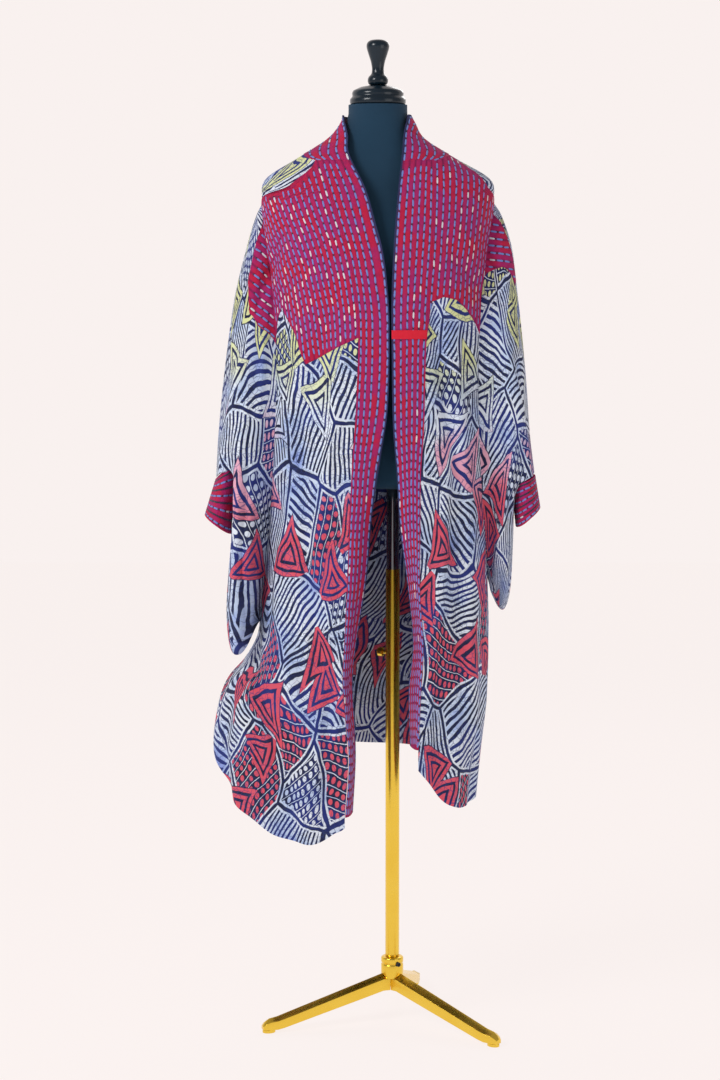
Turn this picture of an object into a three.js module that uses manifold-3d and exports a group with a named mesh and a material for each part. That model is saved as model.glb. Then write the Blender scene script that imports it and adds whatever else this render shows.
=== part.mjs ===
// Kimono robe hanging on a limbless dress form with a telescoping tripod stand.
// Millimetres, +Z up, front towards -Y. The stand's pole is modelled on x = y = 0, and the whole
// is moved at the end so that the origin is the bottom centre of its box.
import * as THREE from 'three';
import Module from 'manifold-3d';
import { mergeVertices } from 'three/addons/utils/BufferGeometryUtils.js';

const wasm = await Module();
wasm.setup();

// ---- driving dimensions ----
const CLOTH = 1.6;              // cloth wall
const SEAM = 0.4;               // gap between pieces at a seam
const FACE_GAP = 0.3;           // gap between hard pieces that touch
const QUILT_RAISE = 0.7;        // ridge between two stitch rows
const OVAL = 2.3;               // exponent of the body's oval sections
const POLE_R = 12.5;            // lower pole, outside
const TUBE_R = 11;              // sliding tube
const TUBE_CLEARANCE = 0.08;
const HUB_R = 20;
const HUB_TOP = 118;
const LEG_REACH = 232;          // hub axis to foot
const LEG_TURN = -41.2;         // first leg's direction from +X, degrees
const FOOT_R = 9;
const FOOT_H = 6;
const FOOT_STRETCH = 1.3;       // the oval pad's length over its width
const TORSO_FLOOR = 970;
const NECK_TOP = 1630;
const NECK_X = -27;             // the form leans: its neck is off the pole's axis

const rad = THREE.MathUtils.degToRad;
const lerp = THREE.MathUtils.lerp;
const signedPower = (value, power) => Math.sign(value) * Math.abs(value) ** power;

// Smooth value of one column of a table, at a height or angle in its key column.
function column(rows, key, name, at) {
  const last = rows.length - 1;
  let i = 0;
  while (i < last - 1 && (rows[i + 1][key] - at) * (rows[last][key] - rows[0][key]) < 0) i += 1;
  const slope = (k) => {
    const a = rows[Math.max(0, k - 1)];
    const b = rows[Math.min(last, k + 1)];
    return (b[name] - a[name]) / (b[key] - a[key]);
  };
  const span = rows[i + 1][key] - rows[i][key];
  const t = THREE.MathUtils.clamp((at - rows[i][key]) / span, 0, 1);
  const rise = rows[i + 1][name] - rows[i][name];
  const m0 = slope(i) * span;
  const m1 = slope(i + 1) * span;
  return rows[i][name] + t * m0 + t * t * (3 * rise - 2 * m0 - m1) + t ** 3 * (m0 + m1 - 2 * rise);
}

const table = (names, ...rows) => rows.map((row) => Object.fromEntries(names.map((n, i) => [n, row[i]])));

// ---- the robe's body: oval sections from the collar to below the hem ----
const BODY = table(['z', 'left', 'right', 'front', 'back'],
  [1616, -87, 28, 52, 66],
  [1600, -90, 36, 56, 70],
  [1571, -114, 54, 64, 78],
  [1536, -170, 111, 76, 88],
  [1502, -222, 168, 88, 98],
  [1467, -228, 174, 100, 106],
  [1400, -224, 168, 118, 116],
  [1300, -216, 160, 130, 122],
  [1200, -213, 158, 134, 124],
  [1000, -220, 161, 135, 126],
  [850, -226, 165, 138, 130],
  [740, -234, 169, 141, 133],
  [700, -240, 169, 143, 134],
  [660, -262, 169, 144, 135],
  [625, -292, 168, 145, 136],
  [580, -309, 166, 147, 138],
  [500, -318, 157, 148, 140],
  [340, -296, 142, 150, 142]);

// Soft vertical folds: where round the body, how wide, how deep, and between which heights.
const FOLDS = table(['turn', 'drift', 'width', 'depth', 'top', 'bottom'],
  [28, -6, 9, -8, 1150, 380],
  [44, 8, 8, 9, 1050, 330],
  [62, 4, 7, -12, 760, 360],
  [14, 2, 6, 7, 900, 330],
  [-38, -6, 7, -8, 1100, 380],
  [-54, 4, 7, 9, 1000, 380],
  [-74, 0, 7, -9, 760, 380],
  [112, 4, 10, 10, 1150, 380],
  [136, -4, 9, -9, 1250, 380],
  [160, 3, 10, 9, 1200, 380],
  [184, 2, 9, -8, 1300, 380],
  [207, -3, 10, 10, 1150, 380],
  [232, 4, 9, -9, 1250, 380],
  [254, -2, 8, 8, 1000, 380]);

function foldDepth(turn, z) {
  let depth = 0;
  for (const fold of FOLDS) {
    const grown = THREE.MathUtils.smoothstep(fold.top - z, 0, fold.top - fold.bottom);
    const away = (turn - fold.turn - fold.drift * grown) / fold.width;
    depth += fold.depth * grown * Math.exp(-away * away);
  }
  return depth;
}

function section(z) {
  const left = column(BODY, 'z', 'left', z);
  const right = column(BODY, 'z', 'right', z);
  return { middle: (left + right) / 2, half: (right - left) / 2 };
}

// A point of the body: turn is 0 at the front, 90 at the viewer's left, 180 at the back.
function bodyPoint(turn, z) {
  const { middle, half } = section(z);
  const side = Math.sin(rad(turn));
  const ahead = Math.cos(rad(turn));
  const depth = column(BODY, 'z', ahead > 0 ? 'front' : 'back', z);
  const fold = foldDepth(turn > 270 ? turn - 360 : turn, z);
  return new THREE.Vector3(
    middle - half * signedPower(side, 2 / OVAL) - fold * side,
    -depth * signedPower(ahead, 2 / OVAL) - fold * ahead,
    z);
}

// The turn at which the front of the body has this x.
function turnAt(x, z) {
  const { middle, half } = section(z);
  const share = THREE.MathUtils.clamp((middle - x) / half, -1, 1);
  return THREE.MathUtils.radToDeg(Math.asin(signedPower(share, OVAL / 2)));
}

// ---- where the seams run ----
// Right front (viewer's left): band seam and free edge, and how far the edge curls in.
const RIGHT_EDGE = table(['z', 'seam', 'edge', 'curl'],
  [1608, -128, -86, 0], [1577, -128, -79, 0], [1545, -128, -77, 0], [1482, -111, -48, 0],
  [1430, -95, -33, 0], [1381, -80, -20, 0], [1322, -68, -12, 0], [1250, -61, -8, 0],
  [1110, -65, -11, 0], [1023, -71, -24, 8], [918, -76, -39, 20], [813, -80, -48, 32],
  [700, -85, -66, 42], [640, -88, -72, 44], [571, -83, -69, 44], [500, -78, -67, 42], [405, -84, -72, 42]);
const LEFT_EDGE = table(['z', 'seam', 'edge', 'curl'],
  [1608, 68, 24, 0], [1577, 68, 17, 0], [1545, 68, 14, 0], [1482, 68, 7, 0], [1400, 65, 0, 0],
  [1295, 58, -4.5, 0], [1200, 54, -4, 0], [1074, 51, -1.5, 0], [1000, 46, 5, 8], [900, 45, 12, 20],
  [800, 45, 26, 34], [700, 51, 35, 42], [620, 47, 28, 40], [520, 43, 31, 42]);
// Shoulder seams, where front meets back above the armhole.
const RIGHT_SHOULDER = table(['z', 'x'], [1545, -133], [1525, -137], [1506, -157], [1488, -181],
  [1470, -200], [1454, -210]);
const LEFT_SHOULDER = table(['z', 'x'], [1545, 92], [1525, 122], [1506, 148], [1488, 161],
  [1470, 166], [1454, 167]);
// Hem heights round the body.
const HEM = table(['turn', 'z'], [-90, 415], [-69, 409], [-48, 417], [-35, 461], [-25, 500],
  [-18, 520], [-5, 520], [-1, 405], [5, 375], [13, 357], [22, 360], [34, 371], [46, 400], [60, 430],
  [77, 480], [90, 498], [112, 484], [140, 478], [180, 484], [220, 470], [250, 440], [270, 415]);
// Lower edges of the yokes, from the band seam (0) to the armhole (1).
const RIGHT_DAGGERS = table(['share', 'z'], [0, 1231], [0.25, 1207], [0.5, 1185], [0.6, 1232],
  [0.8, 1282], [0.9, 1262], [1, 1222]);
const LEFT_DAGGERS = table(['share', 'z'], [0, 1226], [0.05, 1292], [0.2, 1300], [0.4, 1295],
  [0.6, 1278], [0.8, 1258], [1, 1236]);
// The straight value between two rows, for edges with sharp corners.
function cornered(rows, share) {
  let i = 0;
  while (i < rows.length - 2 && share > rows[i + 1].share) i += 1;
  const t = (share - rows[i].share) / (rows[i + 1].share - rows[i].share);
  return lerp(rows[i].z, rows[i + 1].z, t);
}

const SIDES = {
  right: { sign: 1, side: 90, edge: RIGHT_EDGE, shoulder: RIGHT_SHOULDER, daggers: RIGHT_DAGGERS,
    armTop: 1462, armBottom: 728, armOpen: 22 },
  left: { sign: -1, side: -90, edge: LEFT_EDGE, shoulder: LEFT_SHOULDER, daggers: LEFT_DAGGERS,
    armTop: 1462, armBottom: 812, armOpen: 22 },
};

// The turn of the armhole's edge in front of (ahead = 1) or behind (ahead = -1) the side.
function armholeTurn(arm, z, ahead) {
  const share = THREE.MathUtils.clamp((arm.armTop - z) / (arm.armTop - arm.armBottom), 0, 1);
  const open = arm.armOpen * Math.sin(Math.PI * share) ** 0.6;
  return arm.side - arm.sign * ahead * open;
}

function outerTurn(arm, z, ahead) {
  if (z < arm.armTop) return armholeTurn(arm, z, ahead);
  const seam = turnAt(column(arm.shoulder, 'z', 'x', z), z);
  return lerp(arm.side, seam, THREE.MathUtils.smoothstep(z, arm.armTop, arm.armTop + 26));
}

// ---- cloth solids ----
function solid(positions, index) {
  const geometry = new THREE.BufferGeometry();
  geometry.setAttribute('position', new THREE.Float32BufferAttribute(positions, 3));
  geometry.setIndex(index);
  return geometry;
}

// Unit normal of a surface at (u, v), from its neighbours.
function normalAt(point, u, v, flip) {
  const step = 0.004;
  const across = point(u + step, v).sub(point(u - step, v));
  const along = point(u, v + step).sub(point(u, v - step));
  return across.cross(along).normalize().multiplyScalar(flip);
}

// A sheet of cloth over point(u, v), u and v from 0 to 1. low and high give its two faces'
// distance from the surface. With round it closes on itself in u, as a tube.
// margin adds a narrow rim past its edges.
function cloth(point, { across, along, low, high, flip = 1, round = false, margin = 0 }) {
  const shares = (count, rim) => {
    const even = Array.from({ length: count + 1 }, (_, i) => i / count);
    return rim ? [-rim, ...even, 1 + rim] : even;
  };
  const us = shares(across, round ? 0 : margin);
  const vs = shares(along, margin);
  if (round) us.pop();
  const outer = [];
  const inner = [];
  for (const [j, v] of vs.entries()) {
    for (const [i, u] of us.entries()) {
      const p = point(u, v);
      const n = normalAt(point, u, v, flip);
      const top = typeof high === 'function' ? high(i, j) : high;
      outer.push(p.clone().addScaledVector(n, top));
      inner.push(p.clone().addScaledVector(n, low));
    }
  }
  const all = outer.concat(inner);
  const under = outer.length;
  const columns = us.length;
  const acrossAll = round ? columns : columns - 1;
  const alongAll = vs.length - 1;
  const at = (i, j) => j * columns + (i % columns);
  const index = [];
  const quad = (a, b, c, d) => index.push(a, b, c, a, c, d);
  for (let j = 0; j < alongAll; j += 1) {
    for (let i = 0; i < acrossAll; i += 1) {
      const [a, b, c, d] = [at(i, j), at(i + 1, j), at(i + 1, j + 1), at(i, j + 1)];
      quad(a, b, c, d);
      quad(under + a, under + d, under + c, under + b);
    }
  }
  for (let i = 0; i < acrossAll; i += 1) {
    quad(at(i, 0), under + at(i, 0), under + at(i + 1, 0), at(i + 1, 0));
    quad(at(i + 1, alongAll), under + at(i + 1, alongAll), under + at(i, alongAll), at(i, alongAll));
  }
  if (!round) {
    for (let j = 0; j < alongAll; j += 1) {
      quad(at(0, j + 1), under + at(0, j + 1), under + at(0, j), at(0, j));
      quad(at(acrossAll, j), under + at(acrossAll, j), under + at(acrossAll, j + 1), at(acrossAll, j + 1));
    }
  }
  return outward(solid(all.flatMap((p) => p.toArray()), index));
}

function volume(geometry) {
  const p = geometry.attributes.position;
  const [a, b, c] = [new THREE.Vector3(), new THREE.Vector3(), new THREE.Vector3()];
  let total = 0;
  for (let i = 0; i < geometry.index.count; i += 3) {
    a.fromBufferAttribute(p, geometry.index.getX(i));
    b.fromBufferAttribute(p, geometry.index.getX(i + 1));
    c.fromBufferAttribute(p, geometry.index.getX(i + 2));
    total += a.dot(b.cross(c)) / 6;
  }
  return total;
}

// The same solid with its faces turned outwards.
function outward(geometry) {
  const index = geometry.index.array;
  if (volume(geometry) >= 0) return geometry;
  for (let i = 0; i < index.length; i += 3) {
    [index[i + 1], index[i + 2]] = [index[i + 2], index[i + 1]];
  }
  return geometry;
}

// Triangles between the rings of a loft, whose points follow ring by ring.
function lofted(rings, sides) {
  const index = [];
  for (let j = 0; j < rings - 1; j += 1) {
    for (let i = 0; i < sides; i += 1) {
      const next = (i + 1) % sides;
      const [a, b, c, d] = [j * sides + i, j * sides + next, (j + 1) * sides + next, (j + 1) * sides + i];
      index.push(a, b, c, a, c, d);
    }
  }
  return index;
}

function manifold(geometry) {
  const bare = geometry.clone();
  bare.deleteAttribute('normal');
  bare.deleteAttribute('uv');
  const merged = mergeVertices(bare, 1e-4);
  return new wasm.Manifold(new wasm.Mesh({
    numProp: 3,
    vertProperties: new Float32Array(merged.attributes.position.array),
    triVerts: new Uint32Array(merged.index.array),
  }));
}

// What is left of a piece once its neighbours, grown by a seam's gap, are taken off it.
function trimmed(geometry, neighbours) {
  let left = manifold(geometry);
  for (const neighbour of neighbours) left = left.subtract(manifold(neighbour));
  const largest = left.decompose().sort((a, b) => b.volume() - a.volume())[0];
  const mesh = largest.getMesh();
  return solid(Array.from(mesh.vertProperties), Array.from(mesh.triVerts));
}

// ---- parts ----
const group = new THREE.Group();
const FINISH = {
  batik: { color: 0x8fa0c8, roughness: 0.85, metalness: 0 },
  quilt: { color: 0xb01048, roughness: 0.9, metalness: 0 },
  patch: { color: 0xd81030, roughness: 0.9, metalness: 0 },
  jersey: { color: 0x16384a, roughness: 0.95, metalness: 0 },
  gloss: { color: 0x0a1a2a, roughness: 0.2, metalness: 0 },
  gold: { color: 0xe0a410, roughness: 0.3, metalness: 1 },
  chrome: { color: 0xb8bcc0, roughness: 0.15, metalness: 1 },
  rubber: { color: 0x101214, roughness: 0.8, metalness: 0 },
};

function add(name, geometry, finish) {
  const mesh = new THREE.Mesh(geometry, new THREE.MeshStandardMaterial(FINISH[finish]));
  mesh.name = name;
  group.add(mesh);
  return mesh;
}

const half = CLOTH / 2;
const ridge = (i) => half + (i % 2 ? QUILT_RAISE : 0);
const RIM = 0.006;              // a grown wall's rim, as a share of its piece
const grown = {};               // each piece's wall with a seam's gap added on both faces

// Makes a piece of cloth, parts it from the neighbours named, and keeps its grown wall.
function addCloth(name, point, options, finish, neighbours = []) {
  const high = options.high ?? half;
  const raised = typeof high === 'function' ? high(1, 1) : high;
  grown[name] = cloth(point, { ...options, low: -half - SEAM, high: raised + SEAM, margin: RIM });
  let geometry = cloth(point, { low: -half, high: half, ...options });
  const takenOff = neighbours.flatMap((n) => [grown[n], group.getObjectByName(n).geometry]);
  if (takenOff.length) geometry = trimmed(geometry, takenOff);
  add(name, geometry, finish);
}

// Fronts and yokes share one surface, parted by the daggered edge.
function frontSurface(arm, bottomOf, topOf, inset) {
  return (u, v) => {
    const z = lerp(bottomOf(u), topOf(u), v);
    const seam = turnAt(column(arm.edge, 'z', 'seam', z), z) + arm.sign * inset;
    const outer = outerTurn(arm, z, 1) - arm.sign * inset;
    return bodyPoint(lerp(seam, outer, u), z);
  };
}

const seamTurn = 0.18;          // half a seam's gap, as a turn of the body
const hemAt = (turn) => column(HEM, 'turn', 'z', turn);
const BAND_FOOT = { right: 405, left: 520 };
const BAND_TOP = 1532;
const HEM_SEAM = 450;           // height at which the fronts' hems meet the bands
const NECK_SEAM = 1545;
const COLLAR_RISE = 0.17;       // share of the collar's length in which its edge climbs the front
const COLLAR_SPREAD = 1.15;     // exponent that spreads the neck seam round the neck
const neckClimb = (share) => (NECK_SEAM - BAND_TOP) * THREE.MathUtils.smoothstep(share, 0, COLLAR_RISE);

// The yoke's top edge, at this turn: it follows the neck seam up to the shoulder.
function neckSeamAt(arm, turn) {
  const start = turnAt(column(arm.edge, 'z', 'seam', BAND_TOP), BAND_TOP);
  const share = 0.5 * Math.max(0, (turn - start) / (180 * arm.sign - start)) ** (1 / COLLAR_SPREAD);
  return BAND_TOP + neckClimb(share);
}

for (const [name, arm] of Object.entries(SIDES)) {
  const hemSeam = turnAt(column(arm.edge, 'z', 'seam', BAND_FOOT[name]), HEM_SEAM);
  const hem = (u) => hemAt(lerp(hemSeam + arm.sign * 0.5, arm.side, THREE.MathUtils.clamp(u, 0, 1)));
  const dagger = (u) => cornered(arm.daggers, THREE.MathUtils.clamp(u, 0, 1));
  const front = frontSurface(arm, hem, (u) => dagger(u) - SEAM / 2, seamTurn);
  const topSeam = turnAt(column(arm.edge, 'z', 'seam', BAND_TOP), BAND_TOP);
  const topTurn = (u) => lerp(topSeam, outerTurn(arm, BAND_TOP, 1), u);
  const yoke = frontSurface(arm, (u) => dagger(u) + SEAM / 2, (u) => neckSeamAt(arm, topTurn(u)), seamTurn);
  addCloth(`${name}_front`, front, { across: 20, along: 10, flip: -arm.sign }, 'batik');
  addCloth(`${name}_yoke`, yoke, { across: 20, along: 9, high: ridge, flip: -arm.sign }, 'quilt');
}

// The back wraps from shoulder seam to shoulder seam behind the body.
function backSurface(u, v) {
  const angle = lerp(90, 270, u);
  const z = lerp(hemAt(angle), NECK_SEAM, v);
  const start = outerTurn(SIDES.right, z, z < SIDES.right.armTop ? -1 : 1) + 2 * seamTurn;
  const end = 360 + outerTurn(SIDES.left, z, z < SIDES.left.armTop ? -1 : 1) - 2 * seamTurn;
  return bodyPoint(lerp(start, end, u), z);
}

// Bands: strips between seam and free edge, one row at each height.
function bandSurface(arm, bottom) {
  return (u, v) => {
    const z = lerp(bottom, BAND_TOP, v);
    const seam = turnAt(column(arm.edge, 'z', 'seam', z), z) - arm.sign * seamTurn;
    const edge = turnAt(column(arm.edge, 'z', 'edge', z), z);
    const p = bodyPoint(lerp(seam, edge, u), z);
    p.y += column(arm.edge, 'z', 'curl', z) * Math.max(0, u) ** 2;
    return p;
  };
}
for (const [name, arm] of Object.entries(SIDES)) {
  addCloth(`${name}_band`, bandSurface(arm, BAND_FOOT[name]),
    { across: 8, along: 24, high: ridge, flip: arm.sign }, 'quilt');
}

// The collar: the bands' tops, joined round the back of the neck. Its lower edge follows the neck
// seam and its upper edge the free edges, up the front and round the back.
const COLLAR_TOP = 1612;
function collarEnd(arm, share, v) {
  const climb = THREE.MathUtils.smoothstep(share, 0, COLLAR_RISE);
  const lowZ = BAND_TOP + SEAM + neckClimb(share);
  const lowStart = turnAt(column(arm.edge, 'z', 'seam', lowZ), lowZ);
  const lowTurn = lerp(lowStart, 180 * arm.sign, signedPower(2 * share, COLLAR_SPREAD));
  const topZ = lerp(BAND_TOP + SEAM, COLLAR_TOP, climb);
  const front = turnAt(column(arm.edge, 'z', 'edge', topZ), topZ);
  const topTurn = lerp(front, 180 * arm.sign, Math.max(0, (share - COLLAR_RISE) / (0.5 - COLLAR_RISE)));
  return bodyPoint(lerp(lowTurn, topTurn, v), lerp(lowZ, topZ, v));
}
const collarSurface = (u, v) => (u < 0.5 ? collarEnd(SIDES.right, u, v) : collarEnd(SIDES.left, 1 - u, v));
addCloth('neck_band', collarSurface, { across: 22, along: 6, high: (i, j) => ridge(j), flip: -1 }, 'quilt',
  ['right_yoke', 'left_yoke', 'right_band', 'left_band']);
addCloth('back_panel', backSurface, { across: 22, along: 18, flip: -1 }, 'batik',
  ['neck_band', 'right_yoke', 'left_yoke', 'right_band', 'left_band']);

// ---- sleeves ----
// Stations from armhole to cuff: the top edge, the middle of the sheet and the underarm edge
// as seen from the front, and how far the sheet stands in front of and behind the middle.
const SLEEVE_COLUMNS = ['s', 'topX', 'topZ', 'midX', 'midZ', 'lowX', 'lowZ', 'depth', 'lowY'];
const RIGHT_SLEEVE = table(SLEEVE_COLUMNS,
  [0, -224, 1462, -218, 1090, -244, 728, 56, 0],
  [0.18, -238, 1440, -230, 1080, -252, 700, 62, -60],
  [0.36, -255, 1385, -241, 1070, -268, 680, 68, -78],
  [0.54, -275, 1305, -250, 1055, -284, 690, 72, -70],
  [0.7, -289, 1215, -257, 1045, -291, 750, 74, -52],
  [0.82, -300, 1125, -261, 1040, -287, 828, 68, -34],
  [0.92, -307, 1048, -264, 1036, -277, 905, 60, -14],
  [1, -311, 980, -291, 1000, -270, 1012, 50, 0]);
const LEFT_SLEEVE = table(SLEEVE_COLUMNS,
  [0, 173, 1462, 164, 1130, 167, 812, 54, 0],
  [0.18, 188, 1440, 178, 1130, 176, 778, 60, 4],
  [0.36, 206, 1385, 186, 1110, 188, 752, 64, 6],
  [0.54, 216, 1310, 192, 1080, 199, 750, 66, 8],
  [0.7, 226, 1225, 197, 1050, 208, 785, 64, 8],
  [0.82, 234, 1140, 202, 1030, 211, 845, 60, 6],
  [0.92, 240, 1060, 206, 1008, 212, 905, 54, 2],
  [1, 249, 988, 230, 980, 210, 970, 48, 0]);

const SHEET_FULLNESS = 0.5;     // 0.5 rounds the sleeve's section to an ellipse

// A point of the sleeve: s runs to the cuff, c from the top edge down to the underarm edge,
// and ahead is 1 on the front sheet and -1 on the back sheet.
function sleevePoint(arm, rows, s, c, ahead) {
  const at = (name) => column(rows, 's', name, s);
  const bow = 2 * c * (1 - c);
  const x = (1 - c) ** 2 * at('topX') + bow * at('midX') + c * c * at('lowX');
  const z = (1 - c) ** 2 * at('topZ') + bow * at('midZ') + c * c * at('lowZ');
  const y = at('lowY') * c * c - ahead * at('depth') * Math.sin(Math.PI * c) ** SHEET_FULLNESS;
  const free = new THREE.Vector3(x, y, z);
  const seamZ = lerp(arm.armTop, arm.armBottom, c);
  const seam = bodyPoint(armholeTurn(arm, seamZ, ahead), seamZ);
  return seam.lerp(free, THREE.MathUtils.smoothstep(s, 0, 0.18));
}

function sleeveSurface(arm, rows, from, to) {
  return (u, v) => {
    const turn = ((u % 1) + 1) % 1;
    const ahead = turn < 0.5 ? 1 : -1;
    const c = turn < 0.5 ? 2 * turn : 2 - 2 * turn;
    return sleevePoint(arm, rows, lerp(from, to, v), c, ahead);
  };
}

const SLEEVES = { right: RIGHT_SLEEVE, left: LEFT_SLEEVE };
const SLEEVE_START = 0.02;      // shares of the way from the armhole to the cuff
const SLEEVE_END = 0.995;
for (const [name, arm] of Object.entries(SIDES)) {
  addCloth(`${name}_sleeve`, sleeveSurface(arm, SLEEVES[name], SLEEVE_START, SLEEVE_END),
    { across: 20, along: 10, round: true, flip: -arm.sign }, 'batik',
    [`${name}_front`, `${name}_yoke`, 'back_panel']);
}

// Quilted heads of the sleeves, let into the front sheet: how far down it their two ends start
// and stop at the armhole (near) and at their outer tip (far).
const CAPS = {
  right: { reach: 0.34, topNear: 0.055, topFar: 0.1, lowNear: 0.325, lowFar: 0.185 },
  left: { reach: 0.47, topNear: 0.03, topFar: 0.025, lowNear: 0.2, lowFar: 0.045 },
};
const CAP_START = 0.055;
const CAP_CUTTER = 9;           // half the thickness of the block that cuts a head out
function capCutter(name, arm, inset) {
  const cap = CAPS[name];
  const share = (t) => lerp(inset, 1 - inset, t);
  return cloth((u, v) => {
    const top = lerp(cap.topNear, cap.topFar, share(u));
    const low = lerp(cap.lowNear, cap.lowFar, share(u));
    return sleevePoint(arm, SLEEVES[name], lerp(CAP_START, cap.reach, share(u)), lerp(low, top, share(v)), 1);
  }, { across: 8, along: 8, low: -CAP_CUTTER, high: CAP_CUTTER, flip: -arm.sign });
}
for (const [name, arm] of Object.entries(SIDES)) {
  const sleeve = group.getObjectByName(`${name}_sleeve`);
  const head = manifold(sleeve.geometry).intersect(manifold(capCutter(name, arm, 0.006)));
  const mesh = head.decompose().sort((a, b) => b.volume() - a.volume())[0].getMesh();
  sleeve.geometry = trimmed(sleeve.geometry, [capCutter(name, arm, 0)]);
  add(`${name}_sleeve_cap`, solid(Array.from(mesh.vertProperties), Array.from(mesh.triVerts)), 'quilt');
}

// The plain bar across the left band.
const PATCH = { low: 1229, high: 1244, height: half + SEAM + QUILT_RAISE, wall: 1 };
const leftBand = bandSurface(SIDES.left, BAND_FOOT.left);
const bandShare = (z) => (z - BAND_FOOT.left) / (BAND_TOP - BAND_FOOT.left);
addCloth('band_patch', (u, v) => leftBand(u, lerp(bandShare(PATCH.low), bandShare(PATCH.high), v)),
  { across: 4, along: 1, low: PATCH.height, high: PATCH.height + PATCH.wall, flip: -1 }, 'patch');

// Cuffs carry on from the sleeves' ends.
const CUFF_START = 0.06;        // share of the cuff given up to the seam
const CUFF_MOUTH = {
  right: { topX: -330, topZ: 918, lowX: -284, lowZ: 884, depth: 62 },
  left: { topX: 258, topZ: 932, lowX: 219, lowZ: 896, depth: 58 },
};
function cuffSurface(arm, rows, mouth) {
  const seam = sleeveSurface(arm, rows, 1, 1);
  return (u, v) => {
    const turn = ((u % 1) + 1) % 1;
    const c = (1 - Math.cos(2 * Math.PI * turn)) / 2;
    const end = new THREE.Vector3(
      lerp(mouth.topX, mouth.lowX, c),
      -mouth.depth * signedPower(Math.sin(2 * Math.PI * turn), 0.8),
      lerp(mouth.topZ, mouth.lowZ, c));
    const c0 = turn < 0.5 ? 2 * turn : 2 - 2 * turn;
    return sleevePoint(arm, rows, 1, c0, turn < 0.5 ? 1 : -1).lerp(end, lerp(CUFF_START, 1, v));
  };
}
for (const [name, arm] of Object.entries(SIDES)) {
  addCloth(`${name}_cuff`, cuffSurface(arm, SLEEVES[name], CUFF_MOUTH[name]),
    { across: 20, along: 4, high: (i, j) => ridge(j), round: true, flip: -arm.sign }, 'quilt',
    [`${name}_sleeve`]);
}

// ---- the dress form ----
const TORSO = table(['z', 'left', 'right', 'front', 'back'],
  [970, -168, 150, 104, 108], [1030, -165, 146, 104, 108], [1100, -150, 127, 96, 96],
  [1170, -138, 110, 88, 86], [1250, -150, 118, 98, 92], [1330, -172, 134, 112, 98],
  [1390, -186, 142, 104, 98], [1440, -202, 150, 86, 90], [1480, -209, 157, 72, 80],
  [1505, -203, 149.5, 68, 76], [1528, -169, 112, 62, 69], [1552, -126, 68, 55, 61],
  [1580, -93, 36, 51, 56], [1610, -79, 25, 50, 52], [1630, -78, 24, 50, 50]);
function torso() {
  const sides = 20;
  const rings = 18;
  const positions = [];
  for (let j = 0; j <= rings; j += 1) {
    const z = lerp(TORSO_FLOOR, NECK_TOP, Math.sin((j / rings) * Math.PI / 2) ** 0.9);
    const at = (name) => column(TORSO, 'z', name, z);
    for (let i = 0; i < sides; i += 1) {
      const turn = (i / sides) * 2 * Math.PI;
      const depth = Math.cos(turn) > 0 ? at('front') : at('back');
      positions.push(
        (at('left') + at('right')) / 2 - ((at('right') - at('left')) / 2) * signedPower(Math.sin(turn), 0.92),
        -depth * signedPower(Math.cos(turn), 0.92),
        z);
    }
  }
  positions.push(0, 0, TORSO_FLOOR, NECK_X, 0, NECK_TOP);
  const foot = (rings + 1) * sides;
  const index = lofted(rings + 1, sides);
  for (let i = 0; i < sides; i += 1) {
    const next = (i + 1) % sides;
    index.push(foot, next, i, foot + 1, rings * sides + i, rings * sides + next);
  }
  return outward(solid(positions, index));
}
add('torso', torso(), 'jersey');

// Turned pieces: radius and height pairs, closed on the axis.
function turned(profile, sides) {
  const points = profile.map(([r, z]) => new THREE.Vector2(r, z));
  return new THREE.LatheGeometry(points, sides).rotateX(Math.PI / 2);
}
const cap = add('neck_cap', turned([[0, 1630.3], [47, 1630.3], [48.5, 1634], [48.5, 1640], [44, 1645],
  [45, 1650], [43, 1655], [30, 1661], [14, 1664], [0, 1664]], 24), 'gloss');
cap.position.x = NECK_X;
const finial = add('finial', turned([[0, 1664.3], [15, 1664.3], [18, 1670], [17, 1678], [11, 1683],
  [10, 1692], [12, 1704], [16, 1716], [19.5, 1727], [20, 1734], [16, 1740], [8, 1742], [0, 1742]], 20),
  'gloss');
finial.position.x = NECK_X;

const TUBE_FOOT = 400;
const TUBE_TOP = TORSO_FLOOR - FACE_GAP;
add('upper_pole', turned([[0, TUBE_FOOT], [TUBE_R, TUBE_FOOT], [TUBE_R, TUBE_TOP], [0, TUBE_TOP]], 24),
  'chrome');
const bore = TUBE_R + TUBE_CLEARANCE;
const POLE_FOOT = HUB_TOP + FACE_GAP;
const POLE_TOP = 820;
const BORE_FLOOR = 160;
add('lower_pole', turned([[0, POLE_FOOT], [POLE_R, POLE_FOOT], [POLE_R, POLE_TOP], [bore, POLE_TOP],
  [bore, BORE_FLOOR], [0, BORE_FLOOR]], 24), 'gold');
const LEG_ROOT_TOP = 80;
const HUB_FOOT = LEG_ROOT_TOP + FACE_GAP;
add('hub', turned([[0, HUB_FOOT], [HUB_R, HUB_FOOT], [HUB_R, HUB_TOP - 2], [HUB_R - 2, HUB_TOP],
  [0, HUB_TOP]], 24), 'gold');

// Sets a turned piece on the side of the pole, with its axis away from the pole's.
function standOut(name, geometry, finish, { radius, height, turn }) {
  const piece = add(name, geometry.rotateX(-Math.PI / 2), finish);
  piece.rotation.z = rad(turn - 90);
  piece.position.set(radius * Math.cos(rad(turn)), radius * Math.sin(rad(turn)), height);
}

// The clamp's thumb screw stands out of the lower pole, behind its left side.
const thumbScrew = turned([[0, 0], [3, 0], [3, 5], [8, 6], [8, 15], [6, 17], [0, 17]], 16);
standOut('clamp_screw', thumbScrew, 'gold', { radius: POLE_R + FACE_GAP, height: 670, turn: 150 });

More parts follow.
